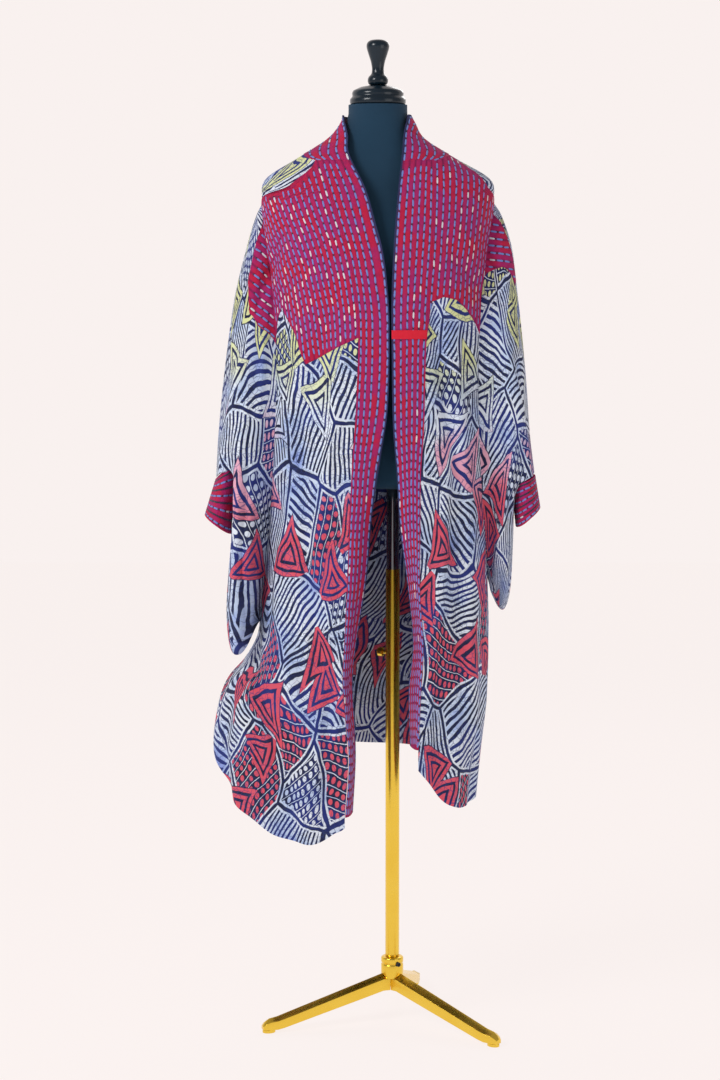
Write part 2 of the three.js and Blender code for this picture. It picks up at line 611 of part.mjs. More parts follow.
// A set screw in the hub, beside the right leg.
const setScrew = turned([[0, 0], [4, 0], [4, 3], [3, 4], [0, 4]], 12);
standOut('hub_screw', setScrew, 'rubber', { radius: HUB_R + FACE_GAP, height: 107, turn: -60 });

// Legs: a deep folded section with a ridge, from a mitred root under the hub to a rounded toe.
const MITRE = Math.tan(rad(30));
const MITRE_GAP = 0.35;
function leg() {
  const inner = HUB_R + FACE_GAP;
  const stations = table(['r', 'width', 'low', 'high', 'ridge'],
    [0, 27, 59, LEG_ROOT_TOP, LEG_ROOT_TOP], [inner, 27, 59, LEG_ROOT_TOP, LEG_ROOT_TOP],
    [inner + 0.2, 27, 59, LEG_ROOT_TOP, 88], [60, 27, 48.3, 68.5, 76],
    [LEG_REACH - 27, 24, 9, 25, 32], [LEG_REACH - 14, 23, 6.3, 21.5, 28], [LEG_REACH, 21.5, 6.3, 20, 25.5],
    [LEG_REACH + 8, 17, 6.3, 16, 20], [LEG_REACH + 12, 12, 6.3, 12, 14]);
  const positions = [];
  for (const s of stations) {
    const w = s.width / 2;
    for (const [y, z] of [[-w, s.low], [w, s.low], [w, s.high], [w * 0.1, s.ridge], [-w, s.high]]) {
      positions.push(Math.max(s.r, Math.abs(y) * MITRE + MITRE_GAP), y, z);
    }
  }
  const sides = 5;
  const end = (stations.length - 1) * sides;
  const index = lofted(stations.length, sides);
  index.push(0, 4, 3, 0, 3, 2, 0, 2, 1);
  index.push(end, end + 1, end + 2, end, end + 2, end + 3, end, end + 3, end + 4);
  return outward(solid(positions, index));
}
['leg_right', 'leg_rear', 'leg_left'].forEach((name, i) => {
  const turn = rad(LEG_TURN + 120 * i);
  add(name, leg(), 'gold').rotation.z = turn;
  const pad = turned([[0, 0], [FOOT_R, 0], [FOOT_R, FOOT_H], [0, FOOT_H]], 16).scale(FOOT_STRETCH, 1, 1);
  const foot = add(name.replace('leg', 'foot'), pad, 'gold');
  foot.rotation.z = turn;
  foot.position.set(LEG_REACH * Math.cos(turn), LEG_REACH * Math.sin(turn), 0);
});

// Move the whole to its bottom centre.
group.updateMatrixWorld(true);
const box = new THREE.Box3().setFromObject(group, true);
group.position.set(-(box.min.x + box.max.x) / 2, -(box.min.y + box.max.y) / 2, -box.min.z);

export default group;
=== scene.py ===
import math
import random

import bpy
import numpy as np
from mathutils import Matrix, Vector


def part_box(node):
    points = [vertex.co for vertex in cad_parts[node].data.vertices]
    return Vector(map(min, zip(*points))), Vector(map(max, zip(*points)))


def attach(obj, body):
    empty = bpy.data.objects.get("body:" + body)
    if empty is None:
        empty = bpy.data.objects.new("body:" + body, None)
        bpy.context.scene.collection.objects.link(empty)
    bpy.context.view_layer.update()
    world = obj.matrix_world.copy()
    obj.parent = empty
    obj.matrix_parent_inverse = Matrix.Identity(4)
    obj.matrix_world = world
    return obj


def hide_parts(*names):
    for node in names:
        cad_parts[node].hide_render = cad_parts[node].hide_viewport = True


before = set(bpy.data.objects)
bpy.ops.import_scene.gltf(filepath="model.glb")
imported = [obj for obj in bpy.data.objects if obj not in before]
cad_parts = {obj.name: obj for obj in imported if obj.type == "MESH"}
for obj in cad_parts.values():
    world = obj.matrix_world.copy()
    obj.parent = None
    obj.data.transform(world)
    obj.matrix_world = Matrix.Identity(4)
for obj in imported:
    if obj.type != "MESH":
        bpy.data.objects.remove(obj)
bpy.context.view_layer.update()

# ---------------------------------------------------------------- camera
# The camera stands 4.3 m in front of the stand's pole, at chest height, and looks slightly down.
tube_low, tube_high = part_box("upper_pole")
POLE = Vector(((tube_low[0] + tube_high[0]) / 2, (tube_low[1] + tube_high[1]) / 2, 0))
CAMERA_PLACE = (-0.058, -4.319, 1.342)
CAMERA_PITCH = -6.22
CAMERA_LENS = 81.9
camera_data = bpy.data.cameras.new("camera")
camera_data.sensor_fit = "AUTO"
camera_data.sensor_width = 36
camera_data.lens = CAMERA_LENS
camera = bpy.data.objects.new("camera", camera_data)
camera.location = POLE + Vector(CAMERA_PLACE)
camera.rotation_euler = (math.radians(90 + CAMERA_PITCH), 0, 0)
bpy.context.scene.collection.objects.link(camera)
bpy.context.scene.camera = camera
bpy.context.scene.view_settings.view_transform = "Standard"


# ---------------------------------------------------------------- finishes
# A finish is one material. Its number sockets take Python arithmetic, and every other node is
# made by one method that sets the node's own settings before its sockets.
class Number:
    """A value socket that adds Math nodes when it is reckoned with."""

    def __init__(self, finish, socket):
        self.finish = finish
        self.socket = socket

    def math(self, operation, *values):
        return Number(self.finish, self.finish.node("Math", {"operation": operation}, self, *values))

    def __add__(self, other):
        return self.math("ADD", other)

    def __sub__(self, other):
        return self.math("SUBTRACT", other)

    def __mul__(self, other):
        return self.math("MULTIPLY", other)

    def __truediv__(self, other):
        return self.math("DIVIDE", other)

    def __gt__(self, other):
        return self.math("GREATER_THAN", other)


class Finish:
    """One node material round a Principled shader."""

    def __init__(self, name, **constants):
        self.material = bpy.data.materials.new(name)
        self.material.use_nodes = True
        self.tree = self.material.node_tree
        self.shader = self.tree.nodes["Principled BSDF"]
        for socket, value in constants.items():
            self.shader.inputs[socket.replace("_", " ")].default_value = value

    def node(self, kind, settings=None, *values, out=0, **named):
        made = self.tree.nodes.new("ShaderNode" + kind)
        for key, value in (settings or {}).items():
            setattr(made, key, value)
        for place, value in list(enumerate(values)) + list(named.items()):
            self.feed(made.inputs[place], value)
        return made.outputs[out]

    def feed(self, socket, value):
        value = value.socket if isinstance(value, Number) else value
        if isinstance(value, bpy.types.NodeSocket):
            self.tree.links.new(value, socket)
        elif value is not None:
            socket.default_value = value

    def number(self, socket):
        return Number(self, socket)

    def place(self):
        """Where a point lies in its object."""
        return self.node("TexCoord", out=3)

    def cloth(self):
        """Where a point lies in its sheet of cloth, in metres."""
        return self.node("UVMap", {"uv_map": "cloth"})

    def cells(self, vector, scale, feature="F1", randomness=1.0):
        """The outputs of a flat Voronoi pattern."""
        made = self.tree.nodes.new("ShaderNodeTexVoronoi")
        made.voronoi_dimensions = "2D"
        made.feature = feature
        for socket, value in (("Vector", vector), ("Scale", scale), ("Randomness", randomness)):
            self.feed(made.inputs[socket], value)
        return made.outputs

    def noise(self, vector, scale, detail=2.0):
        return self.number(self.node("TexNoise", None, Vector=vector, Scale=scale, Detail=detail))

    def mix(self, share, first, second):
        made = self.tree.nodes.new("ShaderNodeMix")
        made.data_type = "RGBA"
        colours = [s for s in made.inputs if s.type == "RGBA"]
        self.feed(made.inputs["Factor"], share)
        for socket, value in zip(colours, (first, second)):
            rgba = value if isinstance(value, (bpy.types.NodeSocket, Number)) else (*value, 1)
            self.feed(socket, rgba)
        return next(s for s in made.outputs if s.type == "RGBA")

    def bump(self, height, distance, strength=1.0):
        normal = self.node("Bump", None, Strength=strength, Distance=distance, Height=height)
        self.feed(self.shader.inputs["Normal"], normal)

    def colour(self, value):
        self.feed(self.shader.inputs["Base Color"], value)


# ---------------------------------------------------------------- feet and legs
# Three deep cast legs with a folded ridge, plated gold, meet under the hub. An oval pad under
# each toe is gold too.
LEG_TURNS = {"right": -41.2, "rear": 78.8, "left": 198.8}
LEG_REACH = 0.232
FOOT_RADIUS = 0.009
FOOT_HEIGHT = 0.006
FOOT_STRETCH = 1.3
gold = Finish("gold_plate", Metallic=1.0, Coat_Weight=0.25, Coat_Roughness=0.08)
gold_place = gold.place()
gold_wear = gold.noise(gold_place, 14.0, 4.0)
gold_fine = gold.noise(gold_place, 160.0, 3.0)
gold.colour(gold.mix(gold_wear, (0.80, 0.50, 0.035), (0.93, 0.66, 0.09)))
gold.feed(gold.shader.inputs["Roughness"], gold_wear * 0.16 + gold_fine * 0.06 + 0.14)
gold.bump(gold_fine, 0.0002, 0.25)
rubber = Finish("foot_rubber", Roughness=0.8)
rubber_grain = rubber.noise(rubber.place(), 400.0)
rubber.colour(rubber.mix(rubber_grain, (0.012, 0.012, 0.014), (0.04, 0.04, 0.045)))
rubber.bump(rubber_grain, 0.0003, 0.4)


def mesh_object(name, verts, faces, finish, uvs=None, smooth=True):
    """A new object at the origin from points in metres, with its cloth coordinates if given."""
    data = bpy.data.meshes.new(name)
    data.from_pydata([tuple(v) for v in verts], [], faces)
    if uvs is not None:
        layer = data.uv_layers.new(name="cloth")
        loops = np.empty(len(data.loops), dtype=np.int32)
        data.loops.foreach_get("vertex_index", loops)
        layer.data.foreach_set("uv", np.asarray(uvs, dtype=np.float32)[loops].ravel())
    data.polygons.foreach_set("use_smooth", [smooth] * len(data.polygons))
    made = bpy.data.objects.new(name, data)
    bpy.context.scene.collection.objects.link(made)
    made.data.materials.append(finish.material)
    return made


def only(made):
    bpy.ops.object.select_all(action="DESELECT")
    made.select_set(True)
    bpy.context.view_layer.objects.active = made


def finished(made, name, finish, angle=30.0):
    """Names a modelled piece, puts its place into its mesh and gives it its finish."""
    made.name = name
    only(made)
    bpy.ops.object.transform_apply(location=True, rotation=True, scale=True)
    bpy.ops.object.shade_smooth_by_angle(angle=math.radians(angle))
    made.data.materials.clear()
    made.data.materials.append(finish.material)
    return made


def bevelled(made, width, segments=2):
    only(made)
    modifier = made.modifiers.new("edge", "BEVEL")
    modifier.width = width
    modifier.segments = segments
    modifier.limit_method = "ANGLE"
    modifier.angle_limit = math.radians(25)
    bpy.ops.object.modifier_apply(modifier=modifier.name)


def face_outward(made):
    only(made)
    bpy.ops.object.mode_set(mode="EDIT")
    bpy.ops.mesh.select_all(action="SELECT")
    bpy.ops.mesh.normals_make_consistent(inside=False)
    bpy.ops.object.mode_set(mode="OBJECT")


def ringed(rows, sides):
    """Faces of a closed piece whose points are rings, one after another."""
    pairs = [(j * sides + k, j * sides + (k + 1) % sides) for j in range(rows - 1) for k in range(sides)]
    faces = [(a, b, b + sides, a + sides) for a, b in pairs]
    return faces + [tuple(range(sides))[::-1], tuple(range((rows - 1) * sides, rows * sides))]


def stands_for(made, node, slot, body):
    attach(made, body)
    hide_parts(node)


LEG_SECTIONS = [  # distance from the pole, width, and heights of underside, side's top and ridge
    (0.0, 0.027, 0.059, 0.080, 0.080),
    (0.0203, 0.027, 0.059, 0.080, 0.080),
    (0.0205, 0.027, 0.059, 0.080, 0.088),
    (0.060, 0.027, 0.0483, 0.0685, 0.076),
    (0.205, 0.024, 0.009, 0.025, 0.032),
    (0.218, 0.023, 0.0063, 0.0215, 0.028),
    (0.232, 0.0215, 0.0063, 0.020, 0.0255),
    (0.240, 0.017, 0.0063, 0.016, 0.020),
    (0.244, 0.012, 0.0063, 0.012, 0.014),
]
LEG_PROFILE = ((-0.5, 2), (0.5, 2), (0.5, 3), (0.05, 4), (-0.5, 3))  # share of width, height's column
MITRE = math.tan(math.radians(30))
MITRE_GAP = 0.00035
for side, turn in LEG_TURNS.items():
    along = Vector((math.cos(math.radians(turn)), math.sin(math.radians(turn)), 0))
    aside = Vector((-along.y, along.x, 0))
    points = []
    for station in LEG_SECTIONS:
        reach, width = station[:2]
        for share, which in LEG_PROFILE:
            out = max(reach, abs(share * width) * MITRE + MITRE_GAP)
            points.append(POLE + along * out + aside * (share * width) + Vector((0, 0, station[which])))
    leg = mesh_object("leg_%s_cast" % side, points, ringed(len(LEG_SECTIONS), len(LEG_PROFILE)), gold,
                      smooth=False)
    face_outward(leg)
    bevelled(leg, 0.0022, 3)
    finished(leg, "leg_%s_cast" % side, gold)
    stands_for(leg, "leg_" + side, "gold", "stand")
    foot_at = POLE + along * LEG_REACH
    bpy.ops.mesh.primitive_cylinder_add(vertices=40, radius=FOOT_RADIUS, depth=FOOT_HEIGHT,
                                        location=(foot_at.x, foot_at.y, FOOT_HEIGHT / 2),
                                        rotation=(0, 0, math.radians(turn)))
    foot = bpy.context.object
    foot.scale.x = FOOT_STRETCH
    finished(foot, "foot_%s_pad" % side, gold)
    bevelled(foot, 0.0009)
    finished(foot, "foot_%s_pad" % side, gold)
    stands_for(foot, "foot_" + side, "gold", "stand")

# ---------------------------------------------------------------- hub, tubes and thumb screw
# The hub is a turned collar that carries the gold tube. The plated tube slides in it and is
# held by a thumb screw from behind. A black set screw holds the gold tube in the hub.
chrome = Finish("chrome_tube", Metallic=1.0)
chrome_wear = chrome.noise(chrome.place(), 30.0, 4.0)
chrome.colour(chrome.mix(chrome_wear, (0.30, 0.31, 0.34), (0.42, 0.43, 0.46)))
chrome.feed(chrome.shader.inputs["Roughness"], chrome_wear * 0.1 + 0.1)


def turned(name, profile, finish, centre=(0.0, 0.0), steps=56, angle=30.0):
    """A piece spun round an upright axis from (radius, height) pairs, in metres."""
    data = bpy.data.meshes.new(name)
    links = [(i, i + 1) for i in range(len(profile) - 1)]
    data.from_pydata([(r, 0, z) for r, z in profile], links, [])
    made = bpy.data.objects.new(name, data)
    bpy.context.scene.collection.objects.link(made)
    only(made)
    bpy.ops.object.mode_set(mode="EDIT")
    bpy.ops.mesh.select_all(action="SELECT")
    bpy.ops.mesh.spin(steps=steps, angle=2 * math.pi, center=(0, 0, 0), axis=(0, 0, 1))
    bpy.ops.mesh.select_all(action="SELECT")
    bpy.ops.mesh.remove_doubles(threshold=0.00002)
    bpy.ops.object.mode_set(mode="OBJECT")
    face_outward(made)
    made.location = (centre[0], centre[1], 0)
    return finished(made, name, finish, angle)


def rounded(profile, radius):
    """The same profile with each inner corner cut by a small two-step round."""
    out = [profile[0]]
    for before, here, after in zip(profile, profile[1:], profile[2:]):
        a, b, c = Vector(before), Vector(here), Vector(after)
        cut = min(radius, (b - a).length * 0.4, (c - b).length * 0.4)
        into, away = (a - b).normalized() * cut, (c - b).normalized() * cut
        out += [tuple(b + into), tuple(b + (into + away) * 0.3), tuple(b + away)]
    return out + [profile[-1]]


POLE_TOP = 0.820
HUB = [(0, 0.0803), (0.0200, 0.0803), (0.020, 0.104), (0.0188, 0.105), (0.0188, 0.107), (0.020, 0.108),
       (0.020, 0.116), (0.018, 0.118), (0, 0.118)]
LOWER_TUBE = [(0, 0.1183), (0.0125, 0.1183), (0.0125, POLE_TOP), (0.01108, POLE_TOP), (0.01108, 0.160),
              (0, 0.160)]
UPPER_TUBE = [(0, 0.400), (0.011, 0.400), (0.011, 0.9697), (0, 0.9697)]
SET_SCREW = [(0, 0), (0.004, 0), (0.004, 0.003), (0.003, 0.004), (0.0018, 0.004), (0.0016, 0.0024),
             (0, 0.0024)]
KNOB = [(0, 0), (0.003, 0), (0.003, 0.005), (0.008, 0.006), (0.008, 0.015), (0.006, 0.017), (0, 0.017)]
KNOB_GRIP = 0.0055
hub = turned("hub_collar", rounded(HUB, 0.0008), gold, POLE)
lower = turned("lower_pole_tube", rounded(LOWER_TUBE, 0.0005), gold, POLE)
upper = turned("upper_pole_tube", rounded(UPPER_TUBE, 0.0005), chrome, POLE)
set_screw = turned("hub_set_screw", SET_SCREW, rubber, steps=24)
knob = turned("clamp_knob", rounded(KNOB, 0.0008), gold, steps=40)
for vertex in knob.data.vertices:
    if vertex.co.z > KNOB_GRIP:
        grip = 1 + 0.05 * math.cos(10 * math.atan2(vertex.co.y, vertex.co.x))
        vertex.co.x *= grip
        vertex.co.y *= grip
for made, radius, height, turn in ((set_screw, 0.0203, 0.107, -60), (knob, 0.0128, 0.670, 150)):
    heading = math.radians(turn)
    made.rotation_euler = (0, math.radians(90), heading)
    made.location = POLE + Vector((radius * math.cos(heading), radius * math.sin(heading), height))
    only(made)
    bpy.ops.object.transform_apply(location=True, rotation=True, scale=True)
for made, node, slot, body in ((hub, "hub", "gold", "stand"), (lower, "lower_pole", "gold", "stand"),
                               (upper, "upper_pole", "chrome_tube", "form"),
                               (set_screw, "hub_screw", "foot_rubber", "stand"),
                               (knob, "clamp_screw", "gold", "stand")):
    stands_for(made, node, slot, body)

# ---------------------------------------------------------------- dress form
# A limbless padded form covered in dark stretched jersey, with a lacquered neck cap and a turned
# finial.
NECK_X = -0.027
jersey = Finish("form_jersey", Roughness=0.92, Sheen_Weight=0.05, Sheen_Roughness=0.5)
jersey_place = jersey.place()
jersey_cloud = jersey.noise(jersey_place, 9.0, 3.0)
jersey_knit = jersey.number(jersey.node("TexWave", {"wave_type": "BANDS", "bands_direction": "X"},
                                        Vector=jersey_place, Scale=420.0, Distortion=1.5, Detail=1.0, out=1))
jersey.colour(jersey.mix(jersey_cloud, (0.001, 0.026, 0.058), (0.003, 0.040, 0.086)))
jersey.bump(jersey_knit, 0.0003, 0.5)
lacquer = Finish("form_gloss", Roughness=0.22, Specular_IOR_Level=0.3, Coat_Weight=0.12, Coat_Roughness=0.05)
lacquer_cloud = lacquer.noise(lacquer.place(), 20.0, 3.0)
lacquer.colour(lacquer.mix(lacquer_cloud, (0.002, 0.007, 0.014), (0.006, 0.018, 0.030)))
lacquer.bump(lacquer_cloud, 0.0004, 0.1)


def table(names, *rows):
    """Named columns, in order of the first one."""
    ordered = sorted(rows, key=lambda row: row[0])
    return dict(zip(names.split(), np.array(ordered, dtype=float).T))


def column(rows, key, name, at):
    """Smooth value of one column where the key column is at."""
    keys, values = rows[key], rows[name]
    at = np.asarray(at, dtype=float)
    back = np.r_[0, np.arange(len(keys) - 1)]
    ahead = np.r_[np.arange(1, len(keys)), len(keys) - 1]
    slopes = (values[ahead] - values[back]) / (keys[ahead] - keys[back])
    i = np.clip(np.searchsorted(keys, at) - 1, 0, len(keys) - 2)
    span = keys[i + 1] - keys[i]
    t = np.clip((at - keys[i]) / span, 0, 1)
    rise = values[i + 1] - values[i]
    m0, m1 = slopes[i] * span, slopes[i + 1] * span
    return values[i] + t * m0 + t * t * (3 * rise - 2 * m0 - m1) + t ** 3 * (m0 + m1 - 2 * rise)


def powered(value, power):
    return np.sign(value) * np.abs(value) ** power


def metres(x, y, z):
    """Points in millimetres from the pole, as metres in the frame."""
    x, y, z = (np.asarray(part) / 1000 for part in (x, y, z))
    return np.stack([x + POLE.x, y + POLE.y, z], -1)


TORSO = table("z left right front back",
              (970, -168, 150, 104, 108), (1030, -165, 146, 104, 108), (1100, -150, 127, 96, 96),
              (1170, -138, 110, 88, 86), (1250, -150, 118, 98, 92), (1330, -172, 134, 112, 98),
              (1390, -186, 142, 104, 98), (1440, -202, 150, 86, 90), (1480, -209, 157, 72, 80),
              (1505, -203, 149.5, 68, 76), (1528, -169, 112, 62, 69), (1552, -126, 68, 55, 61),
              (1580, -93, 36, 51, 56), (1610, -79, 25, 50, 52), (1630, -78, 24, 50, 50))
TORSO_SIDES = 96
TORSO_RINGS = 90
TORSO_LOW, TORSO_HIGH = 970, 1630
TORSO_POWER = 0.92
FOOT_ROUND = 12
turns, heights = np.meshgrid(np.arange(TORSO_SIDES) * 2 * np.pi / TORSO_SIDES,
                             np.linspace(TORSO_LOW, TORSO_HIGH, TORSO_RINGS))
left, right, front, back = (column(TORSO, "z", name, heights) for name in ("left", "right", "front", "back"))
depth = np.where(np.cos(turns) > 0, front, back)
edge_round = np.sqrt(np.clip((heights - TORSO_LOW) / FOOT_ROUND, 0, 1))
shrink = 0.93 + 0.07 * np.sqrt(1 - (1 - edge_round) ** 2)
across = (right - left) / 2 * shrink * powered(np.sin(turns), TORSO_POWER)
points = metres((left + right) / 2 - across, -depth * shrink * powered(np.cos(turns), TORSO_POWER), heights)
torso = mesh_object("torso_padded", points.reshape(-1, 3), ringed(TORSO_RINGS, TORSO_SIDES), jersey)
face_outward(torso)
finished(torso, "torso_padded", jersey, 50)
CAP = [(0, 1.6303), (0.047, 1.6303), (0.0485, 1.634), (0.0485, 1.640), (0.044, 1.645), (0.045, 1.650),
       (0.043, 1.655), (0.030, 1.661), (0.014, 1.664), (0, 1.664)]
FINIAL = [(0, 1.6643), (0.015, 1.6643), (0.018, 1.670), (0.017, 1.678), (0.011, 1.683), (0.010, 1.692),
          (0.012, 1.704), (0.016, 1.716), (0.0195, 1.727), (0.020, 1.734), (0.016, 1.740), (0.008, 1.742),
          (0, 1.742)]
neck_at = (POLE.x + NECK_X, POLE.y)
cap = turned("neck_cap_turned", rounded(CAP, 0.0015), lacquer, neck_at, 72, 40)
finial = turned("finial_turned", rounded(FINIAL, 0.003), lacquer, neck_at, 64, 60)
stands_for(torso, "torso", "form_jersey", "form")
stands_for(cap, "neck_cap", "form_gloss", "form")
stands_for(finial, "finial", "form_gloss", "form")

# ---------------------------------------------------------------- robe: shape of the hanging cloth
# The robe is one garment of batik cotton with quilted yokes, bands and cuffs sewn on. Its body
# hangs in oval sections round the form, and soft folds grow in it towards the hem.
CLOTH = 1.6
OVAL = 2.3
random.seed(7)
BODY = table("z left right front back",
             (1616, -87, 28, 52, 66), (1600, -90, 36, 56, 70), (1571, -114, 54, 64, 78),
             (1536, -170, 111, 76, 88), (1502, -222, 168, 88, 98), (1467, -228, 174, 100, 106),
             (1400, -224, 168, 118, 116), (1300, -216, 160, 130, 122), (1200, -213, 158, 134, 124),
             (1000, -220, 161, 135, 126), (850, -226, 165, 138, 130), (740, -234, 169, 141, 133),
             (700, -240, 169, 143, 134), (660, -262, 169, 144, 135), (625, -292, 168, 145, 136),
             (580, -309, 166, 147, 138), (500, -318, 157, 148, 140), (340, -296, 142, 150, 142))
FOLDS = [  # turn, drift, width, depth, top, bottom
    (28, -6, 9, -8, 1150, 380), (44, 8, 8, 9, 1050, 330), (62, 4, 7, -12, 760, 360),
    (14, 2, 6, 7, 900, 330),
    (-38, -6, 7, -8, 1100, 380), (-54, 4, 7, 9, 1000, 380), (-74, 0, 7, -9, 760, 380),
    (112, 4, 10, 10, 1150, 380), (136, -4, 9, -9, 1250, 380), (160, 3, 10, 9, 1200, 380),
    (184, 2, 9, -8, 1300, 380), (207, -3, 10, 10, 1150, 380), (232, 4, 9, -9, 1250, 380),
    (254, -2, 8, 8, 1000, 380)]
HEM = table("turn z", (-90, 415), (-69, 409), (-48, 417), (-35, 461), (-25, 500), (-18, 520), (-5, 520),
            (-1, 405), (5, 375), (13, 357), (22, 360), (34, 371), (46, 400), (60, 430), (77, 480), (90, 498),
            (112, 484), (140, 478), (180, 484), (220, 470), (250, 440), (270, 415))
EDGES = {  # seam of the band, its free edge, and how far the edge curls in
    "right": table("z seam edge curl", (1608, -128, -86, 0), (1577, -128, -79, 0), (1545, -128, -77, 0),
                   (1482, -111, -48, 0), (1430, -95, -33, 0), (1381, -80, -20, 0), (1322, -68, -12, 0),
                   (1250, -61, -8, 0), (1110, -65, -11, 0), (1023, -71, -24, 8), (918, -76, -39, 20),
                   (813, -80, -48, 32), (700, -85, -66, 42), (640, -88, -72, 44), (571, -83, -69, 44),
                   (500, -78, -67, 42), (405, -84, -72, 42)),
    "left": table("z seam edge curl", (1608, 68, 24, 0), (1577, 68, 17, 0), (1545, 68, 14, 0),
                  (1482, 68, 7, 0), (1400, 65, 0, 0), (1295, 58, -4.5, 0), (1200, 54, -4, 0),
                  (1074, 51, -1.5, 0), (1000, 46, 5, 8), (900, 45, 12, 20), (800, 45, 26, 34),
                  (700, 51, 35, 42),
                  (620, 47, 28, 40), (520, 43, 31, 42))}
SHOULDERS = {
    "right": table("z x", (1545, -133), (1525, -137), (1506, -157), (1488, -181), (1470, -200), (1454, -210)),
    "left": table("z x", (1545, 92), (1525, 122), (1506, 148), (1488, 161), (1470, 166), (1454, 167))}
DAGGERS = {
    "right": ((0, 0.25, 0.5, 0.6, 0.8, 0.9, 1), (1231, 1207, 1185, 1232, 1282, 1262, 1222)),
    "left": ((0, 0.05, 0.2, 0.4, 0.6, 0.8, 1), (1226, 1292, 1300, 1295, 1278, 1258, 1236))}
SIGN = {"right": 1, "left": -1}
ARM_TOP = 1462
ARM_BOTTOM = {"right": 728, "left": 812}
ARM_OPEN = 22
BAND_FOOT = {"right": 405, "left": 520}
YOKE_TOP = 1532
NECK_SEAM = 1545
COLLAR_TOP = 1612
COLLAR_RISE = 0.17
COLLAR_SPREAD = 1.15


def smooth(value, low, high):
    t = np.clip((value - low) / (high - low), 0, 1)
    return t * t * (3 - 2 * t)


def lerp(a, b, t):
    return a + (b - a) * t


def section(z):
    left, right = column(BODY, "z", "left", z), column(BODY, "z", "right", z)
    return (left + right) / 2, (right - left) / 2


def body_point(turn, z):
    """A point of the robe's body: turn is 0 in front, 90 at the viewer's left, 180 behind."""
    turn, z = np.broadcast_arrays(np.asarray(turn, dtype=float), np.asarray(z, dtype=float))
    middle, half = section(z)
    side, ahead = np.sin(np.radians(turn)), np.cos(np.radians(turn))
    depth = np.where(ahead > 0, column(BODY, "z", "front", z), column(BODY, "z", "back", z))
    near = np.where(turn > 270, turn - 360, turn)
    fold = np.zeros_like(z)
    for centre, drift, width, deep, top, bottom in FOLDS:
        grown = smooth(top - z, 0, top - bottom)
        fold += deep * grown * np.exp(-((near - centre - drift * grown) / width) ** 2)
    return np.stack([middle - half * powered(side, 2 / OVAL) - fold * side,
                     -depth * powered(ahead, 2 / OVAL) - fold * ahead, z], -1)


def turn_at(x, z):
    middle, half = section(z)
    return np.degrees(np.arcsin(powered(np.clip((middle - x) / half, -1, 1), OVAL / 2)))


def armhole_turn(side, z, ahead):
    share = np.clip((ARM_TOP - z) / (ARM_TOP - ARM_BOTTOM[side]), 0, 1)
    return SIGN[side] * (90 - ahead * ARM_OPEN * np.sin(np.pi * share) ** 0.6)


def outer_turn(side, z, ahead):
    seam = turn_at(column(SHOULDERS[side], "z", "x", z), z)
    above = lerp(SIGN[side] * 90, seam, smooth(z, ARM_TOP, ARM_TOP + 26))
    return np.where(z < ARM_TOP, armhole_turn(side, z, ahead), above)


# Creases lie across the seams, so every piece takes them from the same list. Each is a soft
# trough or ridge: which side it is on (1 in front, -1 behind), middle, lean from upright in
# degrees, half length, half width and height, in millimetres.
CREASES = [
    (1, -152, 1100, 14, 190, 14, -8), (1, -178, 1010, 5, 230, 11, 7), (1, -122, 930, 7, 220, 13, 8),
    (1, -142, 790, -5, 240, 12, -9), (1, -102, 700, 4, 210, 10, -7), (1, -176, 640, -10, 150, 12, 8),
    (1, -214, 560, -16, 120, 13, -9), (1, -252, 520, -12, 100, 12, 8), (1, -130, 520, 3, 120, 10, 7),
    (1, 96, 1080, -8, 200, 12, -8), (1, 124, 980, -5, 230, 12, 7), (1, 84, 850, 4, 190, 10, 7),
    (1, 112, 750, -4, 210, 11, -8), (1, 78, 610, 2, 130, 9, -6), (1, 140, 600, -3, 150, 10, 7),
    (1, -252, 1250, 22, 150, 10, -7), (1, -276, 1120, 12, 160, 9, 7), (1, -250, 1000, 5, 190, 9, -9),
    (1, -270, 880, 2, 170, 8, 7), (1, -256, 790, -8, 120, 9, -7), (1, -236, 1120, 6, 160, 9, 6),
    (1, 198, 1240, -15, 150, 9, -7), (1, 218, 1110, -9, 160, 8, 7), (1, 198, 1000, -4, 170, 8, -8),
    (1, 188, 880, 6, 130, 9, 7), (1, -170, 1330, 38, 80, 14, -3), (1, 120, 1350, -30, 80, 14, -3),
    (-1, -120, 1330, 30, 140, 16, -7), (-1, -60, 1100, 6, 260, 17, 9), (-1, -20, 1000, -3, 280, 16, -10),
    (-1, 40, 1080, 4, 250, 16, 9), (-1, 90, 1330, -28, 140, 16, -7), (-1, -180, 900, 3, 260, 13, -9),
    (-1, 130, 860, -3, 240, 13, 9), (-1, -110, 700, 4, 220, 13, 8), (-1, 70, 660, -5, 200, 12, -8),
    (-1, -250, 1180, 16, 150, 10, -7), (-1, -262, 960, 4, 200, 9, 8), (-1, -240, 820, -5, 120, 9, -7),
    (-1, 205, 1180, -10, 150, 9, -7), (-1, 208, 960, 3, 190, 9, 7)]


def crease(points, normals):
    """How far the cloth stands off its form at these points, in millimetres."""
    height = np.zeros(points.shape[:-1])
    for face, x, z, lean, length, width, deep in CREASES:
        tilt = math.radians(lean)
        dx, dz = points[..., 0] - x, points[..., 2] - z
        away = dx * math.cos(tilt) - dz * math.sin(tilt)
        along = dx * math.sin(tilt) + dz * math.cos(tilt)
        towards = smooth(-face * normals[..., 1], 0.1, 0.6)
        height += deep * towards * np.exp(-(away / width) ** 2 - (along / length) ** 4)
    return height


def facings(points, flip, close=False):
    """Unit normals of a grid of points."""
    if close:
        across = np.roll(points, -1, 1) - np.roll(points, 1, 1)
    else:
        across = np.gradient(points, axis=1)
    along = np.gradient(points, axis=0)
    normals = np.cross(across, along) * flip
    return normals / np.maximum(np.linalg.norm(normals, axis=-1, keepdims=True), 1e-9)


